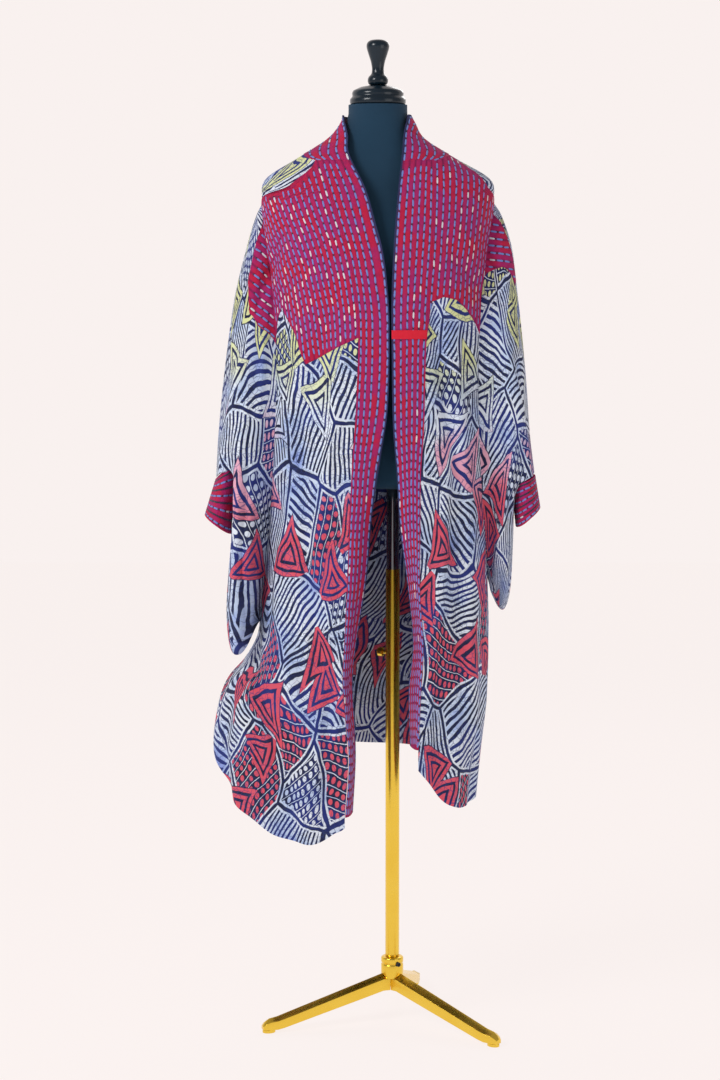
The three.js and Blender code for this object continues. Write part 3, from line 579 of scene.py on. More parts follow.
def shell(name, point, us, vs, finish, flip, cloth_at, puff=None, close=False, keep=None, lift=0.0,
          creased=1.0):
    """A sheet of cloth CLOTH thick over point(u, v), which gives millimetres."""
    U, V = np.meshgrid(us, vs)
    centre = point(U, V)
    normals = facings(centre, flip, close)
    centre = centre + normals * (crease(centre, normals) * creased + lift)[..., None]
    high = CLOTH / 2 + (puff(U, V) if puff else 0.0) * np.ones_like(U)
    outer = (centre + normals * high[..., None]).reshape(-1, 3)
    inner = (centre - normals * CLOTH / 2).reshape(-1, 3)
    rows, columns = U.shape
    across = columns if close else columns - 1
    index = np.arange(rows * columns).reshape(rows, columns)
    ahead = np.roll(index, -1, 1)
    quads = np.stack([index[:-1, :across], ahead[:-1, :across], ahead[1:, :across], index[1:, :across]], -1)
    if keep is not None:
        quads = quads[keep(U, V)[:-1, :across]]
    quads = quads.reshape(-1, 4)
    under = rows * columns
    sides = np.concatenate([quads[:, [k, (k + 1) % 4]] for k in range(4)])
    keys = sides[:, 0] * under + sides[:, 1]
    lone = sides[~np.isin(keys, sides[:, 1] * under + sides[:, 0])]
    rim = np.stack([lone[:, 1], lone[:, 0], lone[:, 0] + under, lone[:, 1] + under], -1)
    faces = np.concatenate([quads, quads[:, ::-1] + under, rim])
    if flip < 0:
        faces = faces[:, ::-1]
    points = np.concatenate([outer, inner])
    places = np.tile(cloth_at(U, V, centre).reshape(-1, 2), (2, 1))
    made = mesh_object(name, metres(*points.T), faces.tolist(), finish, places)
    if puff:
        # How high the puff stands, as a share; the quilt's painted shade darkens the channels where it is
        # low.
        raised = (high - CLOTH / 2) / (high.max() - CLOTH / 2)
        layer = made.data.attributes.new("raised", "FLOAT", "POINT")
        layer.data.foreach_set("value", np.tile(raised.ravel(), 2).astype(np.float32))
    only(made)
    bpy.ops.object.shade_smooth_by_angle(angle=math.radians(50))
    return made


def body_cloth(start):
    """Cloth coordinates of a body piece: length round it from start, and height, in metres."""
    def places(U, V, centre):
        steps = np.linalg.norm(np.diff(centre, axis=1, prepend=centre[:, :1])[..., :2], axis=-1)
        return np.stack([start + np.cumsum(steps, axis=1) / 1000, centre[..., 2] / 1000], -1)
    return places


def spread(count):
    return np.linspace(0, 1, count + 1)


# ---------------------------------------------------------------- batik cloth
# Plain-weave cotton, resist-dyed in a patchwork of leaf-like fields. Each field holds stripes,
# dot rows or fans inside white and navy outlines. Nested triangles are strewn over the fields,
# and fine crackle runs through all. Gaps and sizes of the drawing are in millimetres.
batik = Finish("batik_cotton", Roughness=0.86)


def soft_step(value, low, high):
    finish = value.finish
    return finish.number(finish.node("MapRange", {"interpolation_type": "SMOOTHSTEP"}, value, low, high))


def drifted(finish, vector, scale, reach):
    """The vector moved about by a slow noise."""
    cloud = finish.node("TexNoise", None, Vector=vector, Scale=scale, Detail=2.0, out=1)
    centred = finish.node("VectorMath", {"operation": "SUBTRACT"}, cloud, (0.5, 0.5, 0.5))
    moved = finish.node("VectorMath", {"operation": "SCALE"}, centred, Scale=reach)
    return finish.node("VectorMath", {"operation": "ADD"}, vector, moved)


def parts(finish, vector):
    split = finish.tree.nodes.new("ShaderNodeSeparateXYZ")
    finish.feed(split.inputs[0], vector)
    return [finish.number(socket) for socket in split.outputs]


def headed(x, y, share):
    """The same place in millimetres, along and aside of a heading at this share of a full turn."""
    heading = share * (2 * math.pi)
    cosine, sine = heading.math("COSINE"), heading.math("SINE")
    return (x * cosine + y * sine) * 1000, (y * cosine - x * sine) * 1000


FIELD_SIZE = 0.100
cloth_uv = batik.cloth()
leaned = batik.node("Mapping", None, cloth_uv, None, (0, 0, 0.5), (1.3, 0.8, 1))
wandering = drifted(batik, drifted(batik, leaned, 6.0, 0.075), 45.0, 0.004)
fields = batik.cells(wandering, 1 / FIELD_SIZE)
border = batik.number(batik.cells(wandering, 1 / FIELD_SIZE, "DISTANCE_TO_EDGE")["Distance"])
pick_a, pick_b, pick_c = parts(batik, fields["Color"])
local = batik.node("VectorMath", {"operation": "SUBTRACT"}, wandering, fields["Position"])
local_x, local_y = parts(batik, local)[:2]
along, aside = headed(local_x, local_y, pick_a)
ragged = (batik.noise(cloth_uv, 95.0, 3.0) - 0.5) * 1.1


def waxed(wave, low=-0.2, high=0.2):
    """Turns a wave into drawn lines whose edges have run a little."""
    return soft_step(wave + ragged, low, high)


RULE_GAP = 15.0
DOT_GAP = 13.0
FAN_FAR = 70.0
ARC_GAP = 11.0
stripes = waxed((along * (2 * math.pi) / (pick_c * 3.5 + 8.5)).math("SINE"), -0.25, 0.1)
column_x = (along / RULE_GAP).math("FRACT") - 0.5
dot_y = (aside / DOT_GAP + (along / RULE_GAP).math("FLOOR") * 0.37).math("FRACT") - 0.5
dots = soft_step((column_x * column_x + dot_y * dot_y).math("SQRT") + ragged * 0.06, 0.34, 0.28)
rules = soft_step(column_x.math("ABSOLUTE") + ragged * 0.02, 0.45, 0.47)
fan_x = along + FAN_FAR
radius = (fan_x * fan_x + aside * aside).math("SQRT")
arcs = waxed((radius * (2 * math.pi / ARC_GAP)).math("SINE"), -0.3, 0.05)

# Nested triangles, strewn over the fields at every turn.
TRIANGLE = 28.0
NEST_GAP = 10.5
shifted = batik.node("Mapping", None, wandering, (0.13, 0.29, 0), (0, 0, 0.8), (1, 1, 1))
strewn = batik.cells(shifted, 1 / FIELD_SIZE, randomness=0.8)
spot_a, spot_b = parts(batik, strewn["Color"])[:2]
spot = batik.node("VectorMath", {"operation": "SUBTRACT"}, shifted, strewn["Position"])
spot_x, spot_y = parts(batik, spot)[:2]
spot_along, spot_aside = headed(spot_x, spot_y, spot_a)
triangle = spot_aside.math("MAXIMUM", spot_along * 0.866 - spot_aside * 0.5)
triangle = triangle.math("MAXIMUM", spot_along * -0.866 - spot_aside * 0.5)
nests = waxed((triangle * (2 * math.pi / NEST_GAP)).math("SINE"), -0.4, -0.05)
inside_one = soft_step(triangle + ragged, TRIANGLE + 0.6, TRIANGLE - 0.6) * (spot_b > 0.30)

height = parts(batik, batik.place())[2]
zone = height + (batik.noise(cloth_uv, 5.0) - 0.5) * 0.22
stain = batik.noise(cloth_uv, 13.0, 3.0)
WHITE, PALE, SKY = (0.78, 0.85, 0.95), (0.50, 0.63, 0.88), (0.20, 0.28, 0.72)
YELLOW, PINK, CORAL = (0.74, 0.78, 0.38), (0.82, 0.42, 0.55), (0.74, 0.085, 0.13)
NAVY, ROYAL = (0.003, 0.006, 0.045), (0.007, 0.018, 0.18)
CRACK_BLUE, WASH_BLUE = (0.010, 0.030, 0.20), (0.20, 0.28, 0.62)
ground = batik.mix(soft_step(stain, 0.40, 0.66), WHITE, PALE)
ground = batik.mix(soft_step(stain, 0.58, 0.74) * 0.8, ground, SKY)
warm = batik.mix(soft_step(zone, 0.92, 1.0), CORAL, PINK)
warm = batik.mix(soft_step(zone, 1.04, 1.10), warm, ground)
warm = batik.mix(soft_step(zone, 1.12, 1.22), warm, YELLOW)
inks = batik.mix(soft_step(batik.noise(cloth_uv, 9.0), 0.46, 0.60), NAVY, ROYAL)
field = batik.mix(stripes, inks, ground)
field = batik.mix(pick_c > 0.80, field, batik.mix(arcs, inks, ground))
spotted = batik.mix(rules, batik.mix(dots, inks, batik.mix(pick_a > 0.3, ground, warm)), ground)
field = batik.mix(pick_b > 0.72, field, spotted)
edge = border + ragged * 0.012
field = batik.mix(soft_step(edge, 0.070, 0.060), field, ground)
field = batik.mix(soft_step(edge, 0.036, 0.026), field, inks)
field = batik.mix(inside_one, field, batik.mix(nests, inks, warm))
cracks = batik.cells(drifted(batik, cloth_uv, 40.0, 0.02), 110, "DISTANCE_TO_EDGE")
cracked = soft_step(batik.number(cracks["Distance"]), 0.09, 0.03)
patchy = soft_step(batik.noise(cloth_uv, 22.0, 3.0), 0.35, 0.55)
field = batik.mix(cracked * patchy * 0.6, field, CRACK_BLUE)
wash = batik.noise(cloth_uv, 60.0, 4.0)
field = batik.mix(soft_step(wash, 0.35, 0.75) * 0.08, field, WASH_BLUE)
batik.colour(field)
batik.feed(batik.shader.inputs["Roughness"], wash * 0.12 + 0.8)


def weave(finish, vector, distance):
    """Fine over-and-under of the yarns, as a bump."""
    across, along = (
        finish.number(finish.node("TexWave", {"bands_direction": way}, Vector=vector, Scale=500.0, out=1))
        for way in "XY")
    finish.bump(across * 0.5 + along * 0.5 + finish.noise(vector, 30.0, 4.0) * 1.5, distance, 0.5)


weave(batik, cloth_uv, 0.0006)

# ---------------------------------------------------------------- quilted cloth and its thread
# Layers of red and magenta cotton held by close rows of running stitch in light blue thread,
# which draw the cloth down into soft channels. The channels are darkened towards plum as painted
# shade, and a few stitches are painted pale as painted highlights.
quilt = Finish("quilted_cotton", Roughness=0.9)
quilt_uv = quilt.cloth()
quilt_patches = quilt.noise(drifted(quilt, quilt_uv, 12.0, 0.03), 22.0, 3.0)
quilt_fine = quilt.noise(quilt_uv, 120.0, 4.0)
RED, MAGENTA = (0.52, 0.003, 0.050), (0.40, 0.008, 0.130)
WINE, CHANNEL_PAINTED_SHADE = (0.26, 0.004, 0.075), (0.17, 0.003, 0.075)
quilt_colour = quilt.mix(soft_step(quilt_patches, 0.38, 0.6), RED, MAGENTA)
quilt_colour = quilt.mix(soft_step(quilt_fine, 0.5, 0.75) * 0.5, quilt_colour, WINE)
# Painted shade: where the cloth lies low in the channels between stitch rows it is darkened towards plum.
raised = quilt.number(quilt.node("Attribute", {"attribute_name": "raised"}, out=2))
quilt.colour(quilt.mix(soft_step(raised, 0.92, 0.35) * 0.75, quilt_colour, CHANNEL_PAINTED_SHADE))
weave(quilt, quilt_uv, 0.0008)
edging = Finish("navy_edging", Roughness=0.9)
edging_cloud = edging.noise(edging.cloth(), 80.0, 3.0)
edging.colour(edging.mix(edging_cloud, (0.008, 0.010, 0.05), (0.03, 0.03, 0.12)))
edging.bump(edging_cloud, 0.0004, 0.4)
thread = Finish("stitch_thread", Roughness=0.7, Sheen_Weight=0.2)
thread_colour = thread.node("Attribute", {"attribute_name": "thread"})
thread_twist = thread.noise(thread.place(), 700.0)
thread.colour(thread.mix(thread_twist * 0.35, thread_colour, (0.05, 0.05, 0.12)))
thread.bump(thread_twist, 0.0003, 0.4)
# The last colour is a painted highlight, given to a few stitches at random.
BLUE, DARK, STITCH_PAINTED_HIGHLIGHT = (0.15, 0.25, 0.66), (0.004, 0.004, 0.035), (0.72, 0.74, 0.82)


def lifted(point, u, v, flip, height, creased=1.0):
    """Points at a height over a surface, with its normals."""
    step = 0.004
    across = point(u + step, v) - point(u - step, v)
    along = point(u, v + step) - point(u, v - step)
    normals = np.cross(across, along) * flip
    normals /= np.maximum(np.linalg.norm(normals, axis=-1, keepdims=True), 1e-9)
    base = point(u, v)
    return base + normals * (crease(base, normals) * creased + height)[..., None], normals


STITCH_LIFT = 0.3
STITCH_TALL = 0.8
STITCH_RINGS = ((-1, 0.5, 0.1), (-0.6, 1, 0.9), (0.6, 1, 0.9), (1, 0.5, 0.1))  # along, width, height
STITCH_SIDES = ((-1, 0), (-0.5, 1), (0.5, 1), (1, 0))  # aside, height
STITCH_FACES = [(a, a + 4, a + 5, a + 1) for ring in range(3) for a in range(ring * 4, ring * 4 + 3)]
STITCH_FACES += [(0, 1, 2, 3), (15, 14, 13, 12)]


def at_length(lengths, values, at):
    """The point or normal at a length along a run."""
    return np.array([np.interp(at, lengths, values[:, k]) for k in range(3)])


def stitched(name, point, flip, runs, lift=0.0, creased=1.0, pale=0.03):
    """Running stitches along runs of (u array, v array, colour, pitch), all in one mesh; a share pale of
    them, strewn at random, is painted pale as painted highlights on the thread.
    """
    verts, faces, colours = [], [], []
    for u, v, colour, pitch in runs:
        path, normals = lifted(point, u, v, flip, CLOTH / 2 + STITCH_LIFT + lift, creased)
        lengths = np.r_[0, np.cumsum(np.linalg.norm(np.diff(path, axis=0), axis=1))]
        at = random.uniform(0.3, 0.8) * pitch
        small = False
        while at < lengths[-1] - pitch * 0.5:
            middle, up = at_length(lengths, path, at), at_length(lengths, normals, at)
            ahead = at_length(lengths, path, at + 2) - at_length(lengths, path, at - 2)
            ahead /= max(np.linalg.norm(ahead), 1e-6)
            aside = np.cross(up, ahead)
            if small:
                long, wide, shade = pitch * 0.10, 1.7, DARK
            else:
                long, wide = pitch * 0.40 * random.uniform(0.9, 1.04), 1.75
                # A few stitches are painted pale at random: painted highlights glinting on the thread.
                shade = STITCH_PAINTED_HIGHLIGHT if random.random() < pale else colour
            heading = ahead + aside * random.uniform(-0.12, 0.12)
            faces += [tuple(len(verts) + corner for corner in face) for face in STITCH_FACES]
            verts += [middle + heading * (reach * long) + aside * (lean * wide * broad)
                      + up * (tall * rise * STITCH_TALL)
                      for reach, broad, rise in STITCH_RINGS for lean, tall in STITCH_SIDES]
            colours += [(*shade, 1)] * 16
            at += pitch * 0.5
            small = not small
    made = mesh_object(name, metres(*np.array(verts).T), faces, thread)
    layer = made.data.attributes.new("thread", "FLOAT_COLOR", "POINT")
    layer.data.foreach_set("color", np.array(colours, dtype=np.float32).ravel())
    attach(made, "form")
    return made


def stitch_rows(phase, pitch, down=True, steps=110):
    """Runs of stitching where phase(u, v) is a whole number and a half, found down or across."""
    shares, fine = np.linspace(0.012, 0.988, steps), np.linspace(0, 1, 160)
    grid = [phase(fine, np.full_like(fine, v)) if down else phase(np.full_like(fine, v), fine)
            for v in shares]
    low, high = min(row.min() for row in grid), max(row.max() for row in grid)
    runs = []
    for wanted in np.arange(math.floor(low) + 0.5, high, 1.0):
        found = []
        for row in grid:
            row, places = (row, fine) if row[-1] > row[0] else (row[::-1], fine[::-1])
            found.append(np.interp(wanted, row, places) if row[0] < wanted < row[-1] else -1)
        found = np.array(found)
        inside = (found > 0.01) & (found < 0.99)
        for part in np.split(np.arange(steps), np.flatnonzero(np.diff(inside.astype(int))) + 1):
            if inside[part[0]] and len(part) > 3:
                pair = (found[part], shares[part]) if down else (shares[part], found[part])
                runs.append((*pair, BLUE, pitch))
    return runs


def declared(made, node, slot):
    """Rides the form and stands for its CAD node."""
    stands_for(made, node, slot, "form")


def edged(made, axis):
    """Binds the free edge of a strip in navy, BAND_WIDTH wide along this cloth coordinate."""
    made.data.materials.append(edging.material)
    places = made.data.uv_layers["cloth"].data
    for polygon in made.data.polygons:
        share = sum(places[corner].uv[axis] for corner in polygon.loop_indices) / 4 / BAND_WIDTH
        polygon.material_index = int(share > EDGING_START)


def quilted(node, point, us, vs, flip, cloth_at, puff, phase, runs, close=False,
            lift=0.0, creased=1.0, pale=0.03, bound=None):
    """A quilted sheet whose channels lie between its stitch rows, with its edge and its stitches."""
    made = shell(node + "_quilt", point, us, vs, quilt, flip, cloth_at,
                 lambda U, V: puff * np.abs(np.cos(np.pi * phase(U, V))) ** 0.6, close, None, lift, creased)
    if bound is not None:
        edged(made, bound)
    threads = stitched(node + "_stitches", point, flip, runs, lift, creased, pale)
    declared(made, node, "quilt")


# ---------------------------------------------------------------- back panel
# One width of batik cotton from hem to neck, sewn to the fronts at the sides and shoulders.
SEAM_TURN = 0.05


def hem_at(turn):
    return column(HEM, "turn", "z", turn)


def back_point(u, v):
    z = lerp(hem_at(lerp(90, 270, u)), NECK_SEAM, v)
    start = np.where(z < ARM_TOP, outer_turn("right", z, -1), outer_turn("right", z, 1)) + 2 * SEAM_TURN
    end = 360 + np.where(z < ARM_TOP, outer_turn("left", z, -1), outer_turn("left", z, 1)) - 2 * SEAM_TURN
    return body_point(lerp(start, end, u), z)


back = shell("back_panel_cloth", back_point, spread(190), spread(190), batik, -1, body_cloth(0.0))
declared(back, "back_panel", "batik")

# ---------------------------------------------------------------- fronts and quilted yokes
# Each front is batik below and a quilted yoke above, parted by a daggered edge. The yoke's rows
# of stitching fan out from the shoulder.
FRONT_START = {"right": 1.0, "left": 2.0}
YOKE_PITCH = {"right": 12.0, "left": 11.5}
YOKE_FAN = {"right": 0.28, "left": 0.08}
YOKE_STITCH = 14.5
DAGGER_GAP = 0.2
ARC_LOW, ARC_HIGH = 1180, 1550


def front_point(side, bottom, top):
    def point(u, v):
        z = lerp(bottom(u), top(u), v)
        seam = turn_at(column(EDGES[side], "z", "seam", z), z) + SIGN[side] * SEAM_TURN
        outer = outer_turn(side, z, 1) - SIGN[side] * SEAM_TURN
        return body_point(lerp(seam, outer, u), z)
    return point


def dagger(side, shift=0.0):
    """Height of the edge between batik and yoke at a share of the front's width."""
    return lambda u: np.interp(np.clip(u, 0, 1), *DAGGERS[side]) + shift


def hem_line(side):
    """Height of a front's hem at a share of its width."""
    low_seam = float(turn_at(column(EDGES[side], "z", "seam", BAND_FOOT[side]), 450))
    return lambda u: hem_at(lerp(low_seam + SIGN[side] * 0.5, SIGN[side] * 90, np.clip(u, 0, 1)))


def yoke_arc(side):
    """Length across the yoke from the band seam in millimetres, at a share of its width and a height."""
    shares, levels = np.linspace(0, 1, 60), np.linspace(ARC_LOW, ARC_HIGH, 75)
    U, Z = np.meshgrid(shares, levels)
    seam = turn_at(column(EDGES[side], "z", "seam", Z), Z)
    points = body_point(lerp(seam, outer_turn(side, Z, 1), U), Z)
    steps = np.linalg.norm(np.diff(points, axis=1, prepend=points[:, :1]), axis=-1)
    arcs = np.cumsum(steps, axis=1)

    def arc(u, z):
        i, j = np.clip(u, 0, 1) * 58.999, np.clip((z - ARC_LOW) / (ARC_HIGH - ARC_LOW), 0, 1) * 73.999
        a, b = i.astype(int), j.astype(int)
        fi, fj = i - a, j - b
        low = arcs[b, a] * (1 - fi) + arcs[b, a + 1] * fi
        high = arcs[b + 1, a] * (1 - fi) + arcs[b + 1, a + 1] * fi
        return low * (1 - fj) + high * fj
    return arc


def neck_seam(side):
    """The yoke's top edge: it follows the neck seam up to the shoulder."""
    start = turn_at(column(EDGES[side], "z", "seam", YOKE_TOP), YOKE_TOP)
    outer = outer_turn(side, np.float64(YOKE_TOP), 1)

    def top(u):
        turn = lerp(start, outer, u)
        share = 0.5 * np.maximum(0, (turn - start) / (180 * SIGN[side] - start)) ** (1 / COLLAR_SPREAD)
        return YOKE_TOP + (NECK_SEAM - YOKE_TOP) * smooth(share, 0, COLLAR_RISE)
    return top


def yoke_phase(side):
    """Counts the yoke's rows of stitching over its sheet."""
    edge, top, arc = dagger(side), neck_seam(side), yoke_arc(side)

    def phase(U, V):
        z = lerp(edge(U), top(U), V)
        return arc(U, z) / (YOKE_PITCH[side] * (1 - YOKE_FAN[side] * (YOKE_TOP - z) / 300))
    return phase


for side in ("right", "left"):
    places = body_cloth(FRONT_START[side])
    front = shell("%s_front_cloth" % side, front_point(side, hem_line(side), dagger(side, -DAGGER_GAP)),
                  spread(100), spread(170), batik, -SIGN[side], places)
    declared(front, "%s_front" % side, "batik")
    phase = yoke_phase(side)
    quilted("%s_yoke" % side, front_point(side, dagger(side, DAGGER_GAP), neck_seam(side)), spread(110),
            spread(60), -SIGN[side], places, 1.0, phase, stitch_rows(phase, YOKE_STITCH), pale=0.16)

# ---------------------------------------------------------------- bands and patch
# Quilted strips down the fronts' free edges, bound along the edge in navy with a last row of
# stitches. A plain red bar is sewn across the wearer's left band.
BAND_WIDTH = 0.07
BAND_ROWS = {"right": (0.10, 0.30, 0.50, 0.70, 0.93), "left": (0.08, 0.25, 0.42, 0.59, 0.76, 0.93)}
BAND_STITCH = 15.0
BAND_PUFF = 0.9
EDGING_START = 0.95
PATCH_SPAN = (1229, 1244)


def row_phase(side, share):
    """Counts the rows of stitching across a band."""
    rows = BAND_ROWS[side]
    return np.interp(share, (-0.1, *rows, 1.1), np.arange(len(rows) + 2) - 0.5)


def band_point(side):
    def point(u, v):
        z = lerp(BAND_FOOT[side], YOKE_TOP, v)
        seam = turn_at(column(EDGES[side], "z", "seam", z), z) - SIGN[side] * SEAM_TURN
        edge = turn_at(column(EDGES[side], "z", "edge", z), z)
        p = body_point(lerp(seam, edge, u), z)
        p[..., 1] += column(EDGES[side], "z", "curl", z) * np.maximum(0, u) ** 2
        return p
    return point


for side in ("right", "left"):
    v = np.linspace(0.004, 0.996, 500)
    quilted("%s_band" % side, band_point(side), spread(44), spread(300), SIGN[side],
            lambda U, V, centre: np.stack([U * BAND_WIDTH, centre[..., 2] / 1000], -1), BAND_PUFF,
            lambda U, V: row_phase(side, U),
            [(np.full_like(v, u), v, BLUE, BAND_STITCH) for u in BAND_ROWS[side]], bound=0)

patch_cotton = Finish("patch_cotton", Roughness=0.88)
patch_uv = patch_cotton.cloth()
patch_cloud = patch_cotton.noise(patch_uv, 90.0, 3.0)
patch_cotton.colour(patch_cotton.mix(patch_cloud, (0.62, 0.004, 0.02), (0.80, 0.012, 0.045)))
weave(patch_cotton, patch_uv, 0.0006)
left_band = band_point("left")


def patch_point(u, v):
    return left_band(u, (lerp(*PATCH_SPAN, v) - BAND_FOOT["left"]) / (YOKE_TOP - BAND_FOOT["left"]))


patch = shell("band_patch_bar", patch_point, spread(30), spread(8), patch_cotton, -1,
              lambda U, V, centre: np.stack([U * 0.06, V * 0.015], -1), lift=2.7)
declared(patch, "band_patch", "patch")

# ---------------------------------------------------------------- collar
# The bands' tops joined round the back of the neck, quilted along their length.
COLLAR_FOOT = YOKE_TOP + 0.1
COLLAR_LENGTH = 0.62


def collar_end(side, share, v):
    climb = smooth(share, 0, COLLAR_RISE)
    low = COLLAR_FOOT + (NECK_SEAM - YOKE_TOP) * climb
    low_turn = lerp(turn_at(column(EDGES[side], "z", "seam", low), low), 180 * SIGN[side],
                    np.maximum(2 * share, 0) ** COLLAR_SPREAD)
    top = lerp(COLLAR_FOOT, COLLAR_TOP, climb)
    top_turn = lerp(turn_at(column(EDGES[side], "z", "edge", top), top), 180 * SIGN[side],
                    np.maximum(0, (share - COLLAR_RISE) / (0.5 - COLLAR_RISE)))
    turn = lerp(low_turn, top_turn, v)
    return body_point(np.where(turn < -179.99, -179.99, turn), lerp(low, top, v))


def collar_point(u, v):
    u, v = np.broadcast_arrays(u, v)
    first = collar_end("right", np.minimum(u, 0.5), v)
    second = collar_end("left", np.minimum(1 - u, 0.5), v)
    return np.where((u < 0.5)[..., None], first, second)


def collar_phase(U, V):
    return np.where(U < 0.5, row_phase("right", V), row_phase("left", V))


half_round = np.linspace(0.004, 0.5, 200)
runs = [(u, np.full_like(half_round, row), BLUE, BAND_STITCH)
        for side, u in (("right", half_round), ("left", 1 - half_round)) for row in BAND_ROWS[side]]
quilted("neck_band", collar_point, spread(180), spread(30), -1,
        lambda U, V, centre: np.stack([U * COLLAR_LENGTH, V * BAND_WIDTH], -1), BAND_PUFF, collar_phase, runs,
        creased=0, bound=1)

# ---------------------------------------------------------------- sleeves, caps and cuffs
# Wide tubes of batik set into the armholes, each with a quilted cap let into its front at the
# shoulder and a quilted cuff round its mouth.
SLEEVE_NAMES = "s topX topZ midX midZ lowX lowZ depth lowY"
SLEEVES = {
    "right": table(
        SLEEVE_NAMES, (0, -224, 1462, -218, 1090, -244, 728, 56, 0),
        (0.18, -238, 1440, -230, 1080, -252, 700, 62, -60),
        (0.36, -255, 1385, -241, 1070, -268, 680, 68, -78),
        (0.54, -275, 1305, -250, 1055, -284, 690, 72, -70),
        (0.7, -289, 1215, -257, 1045, -291, 750, 74, -52),
        (0.82, -300, 1125, -261, 1040, -287, 828, 68, -34),
        (0.92, -307, 1048, -264, 1036, -277, 905, 60, -14),
        (1, -311, 980, -291, 1000, -270, 1012, 50, 0)),
    "left": table(
        SLEEVE_NAMES, (0, 173, 1462, 164, 1130, 167, 812, 54, 0),
        (0.18, 188, 1440, 178, 1130, 176, 778, 60, 4), (0.36, 206, 1385, 186, 1110, 188, 752, 64, 6),
        (0.54, 216, 1310, 192, 1080, 199, 750, 66, 8), (0.7, 226, 1225, 197, 1050, 208, 785, 64, 8),
        (0.82, 234, 1140, 202, 1030, 211, 845, 60, 6), (0.92, 240, 1060, 206, 1008, 212, 905, 54, 2),
        (1, 249, 988, 230, 980, 210, 970, 48, 0))}
SLEEVE_SPAN = (0.02, 0.995)
SLEEVE_MIDDLE = {"right": -236, "left": 190}
SLEEVE_UV = {"right": 6.0, "left": 9.0}
SLEEVE_RING = np.arange(200) / 200
CAP_START = 0.016
CAP_SHAPES = {"right": (0.34, 0.03, 0.1, 0.335, 0.185), "left": (0.47, 0.03, 0.025, 0.2, 0.045)}
CAP_LEAN = {"right": math.radians(50), "left": math.radians(82)}
CAP_PITCH = 12.0
CAP_STITCH = 14.0
CUFF_START = 0.02
CUFF_ROWS = 8
CUFF_STITCH = 13.0
MOUTHS = {"right": (-330, 918, -284, 884, 62), "left": (258, 932, 219, 896, 58)}


def sleeve_point(side, s, c, ahead):
    s, c, ahead = np.broadcast_arrays(s, c, ahead)
    top_x, top_z, mid_x, mid_z, low_x, low_z, depth, low_y = (
        column(SLEEVES[side], "s", name, s) for name in SLEEVE_NAMES.split()[1:])
    bow = 2 * c * (1 - c)
    x = (1 - c) ** 2 * top_x + bow * mid_x + c * c * low_x
    z = (1 - c) ** 2 * top_z + bow * mid_z + c * c * low_z
    y = low_y * c * c - ahead * depth * np.sqrt(np.maximum(np.sin(np.pi * c), 0))
    seam_z = lerp(ARM_TOP, ARM_BOTTOM[side], c)
    seam = body_point(armhole_turn(side, seam_z, ahead), seam_z)
    return lerp(seam, np.stack([x, y, z], -1), smooth(s, 0, 0.18)[..., None])


def round_share(u):
    """Share down the sleeve's section and its sheet, closely spaced at the two folded edges."""
    turn = np.mod(u, 1)
    return (1 - np.cos(2 * np.pi * turn)) / 2, np.where(turn < 0.5, 1.0, -1.0)


def tube_point(side):
    def point(u, v):
        c, ahead = round_share(u)
        return sleeve_point(side, lerp(*SLEEVE_SPAN, v), c, ahead)
    return point


def sleeve_cloth(side):
    """Cloth coordinates of a sleeve: length round it, and height, in metres."""
    def places(U, V, centre):
        swung = np.arctan2(-centre[..., 1], -SIGN[side] * (centre[..., 0] - SLEEVE_MIDDLE[side]))
        return np.stack([SLEEVE_UV[side] + swung * 0.085, centre[..., 2] / 1000], -1)
    return places


def beside_cap(side):
    """Tells which of the sleeve's quads aren't hidden under its cap."""
    reach, top_near, top_far, low_near, low_far = CAP_SHAPES[side]

    def keep(U, V):
        c, ahead = round_share(U)
        share = (lerp(*SLEEVE_SPAN, V) - CAP_START) / (reach - CAP_START)
        inside = (ahead > 0) & (share > 0.10) & (share < 0.88)
        inside &= (c > lerp(top_near, top_far, share) + 0.008) & (c < lerp(low_near, low_far, share) - 0.03)
        return ~inside
    return keep


def cap_point(side):
    reach, top_near, top_far, low_near, low_far = CAP_SHAPES[side]

    def point(u, v):
        c = lerp(lerp(low_near, low_far, u), lerp(top_near, top_far, u), v)
        return sleeve_point(side, lerp(CAP_START, reach, u), c, 1.0)
    return point


def cap_phase(side):
    """Counts the cap's rows of stitching, which run straight over it at CAP_LEAN."""
    point, lean = cap_point(side), CAP_LEAN[side]

    def phase(U, V):
        place = point(np.asarray(U, dtype=float), np.asarray(V, dtype=float))
        return (place[..., 0] * math.cos(lean) + place[..., 2] * math.sin(lean)) / CAP_PITCH
    return phase


def cuff_point(side):
    top_x, top_z, low_x, low_z, deep = MOUTHS[side]

    def point(u, v):
        u, v = np.broadcast_arrays(u, v)
        c, ahead = round_share(u)
        turn = 2 * np.pi * np.mod(u, 1)
        end = np.stack([lerp(top_x, low_x, c), -deep * powered(np.sin(turn), 0.8), lerp(top_z, low_z, c)], -1)
        return lerp(sleeve_point(side, np.ones_like(u), c, ahead), end, lerp(CUFF_START, 1, v)[..., None])
    return point


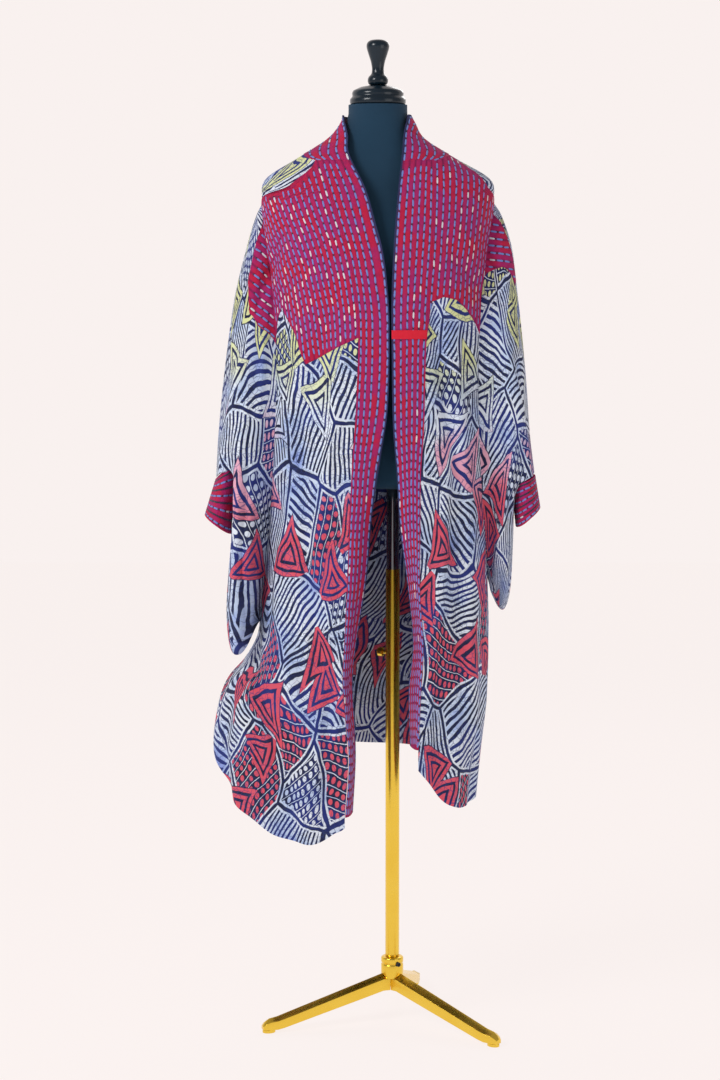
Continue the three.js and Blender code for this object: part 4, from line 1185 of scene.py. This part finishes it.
for side in ("right", "left"):
    cloth_name = "%s_sleeve_cloth" % side
    phase = cap_phase(side)
    sleeve = shell(cloth_name, tube_point(side), SLEEVE_RING, spread(110), batik, -SIGN[side],
                   sleeve_cloth(side), close=True, keep=beside_cap(side))
    declared(sleeve, "%s_sleeve" % side, "batik")
    quilted("%s_sleeve_cap" % side, cap_point(side), spread(60), spread(70), -SIGN[side],
            lambda U, V, centre: centre[..., (0, 2)] / 1000, 0.8, phase,
            stitch_rows(phase, CAP_STITCH, down=False), lift=0.9, pale=0.2)
    u = np.linspace(0.0, 0.995, 300)
    runs = [(u, np.full_like(u, (row + 0.5) / CUFF_ROWS), BLUE if row % 2 else DARK, CUFF_STITCH)
            for row in range(CUFF_ROWS)]
    quilted("%s_cuff" % side, cuff_point(side), SLEEVE_RING, spread(48), -SIGN[side],
            lambda U, V, centre: np.stack([8 + U * 0.3, V * 0.08], -1), BAND_PUFF,
            lambda U, V: V * CUFF_ROWS, runs, close=True, creased=0)

# ---------------------------------------------------------------- floor, backdrop and light
# A pale studio floor that meets a pale wall of the same tone, lit softly from the front left.
STUDIO_PALE = (0.947, 0.880, 0.863)
FLOOR_GLOW = 0.93
ROOM_SIZE = 40
WALL_BEHIND = 7.0
ROOM_LIGHT = 0.38
LIT_POINT = Vector((0.0, 0.0, 1.0))
wall_paint = Finish("studio_wall", Roughness=1.0)
floor_paint = Finish("studio_floor", Roughness=1.0)
for paint, base, glow in ((wall_paint, 0.0, 1.0), (floor_paint, 0.10, FLOOR_GLOW)):
    paint.shader.inputs["Base Color"].default_value = (*(base * tone for tone in STUDIO_PALE), 1)
    paint.shader.inputs["Specular IOR Level"].default_value = 0.0
    paint.shader.inputs["Emission Color"].default_value = (*STUDIO_PALE, 1)
    paint.shader.inputs["Emission Strength"].default_value = glow
for name, place, turn, paint in (("floor", (0, 0, 0), 0, floor_paint),
                                 ("wall", (0, WALL_BEHIND, 0), 90, wall_paint)):
    bpy.ops.object.select_all(action="DESELECT")
    bpy.ops.mesh.primitive_plane_add(size=ROOM_SIZE, location=place, rotation=(math.radians(turn), 0, 0))
    bpy.context.object.name = name
    bpy.context.object.data.materials.append(paint.material)
world = bpy.data.worlds.new("studio")
world.use_nodes = True
world.node_tree.nodes["Background"].inputs["Color"].default_value = (*STUDIO_PALE, 1)
world.node_tree.nodes["Background"].inputs["Strength"].default_value = ROOM_LIGHT
bpy.context.scene.world = world
for name, place, size, power in (("key", (-2.6, -2.4, 2.9), 1.4, 85), ("fill", (2.6, -2.6, 1.5), 2.0, 16),
                                 ("back", (0.9, 2.4, 2.6), 1.2, 12)):
    data = bpy.data.lights.new(name, "AREA")
    data.size = size
    data.energy = power
    lamp = bpy.data.objects.new(name, data)
    lamp.location = place
    lamp.rotation_euler = (LIT_POINT - Vector(place)).to_track_quat("-Z", "Y").to_euler()
    bpy.context.scene.collection.objects.link(lamp)
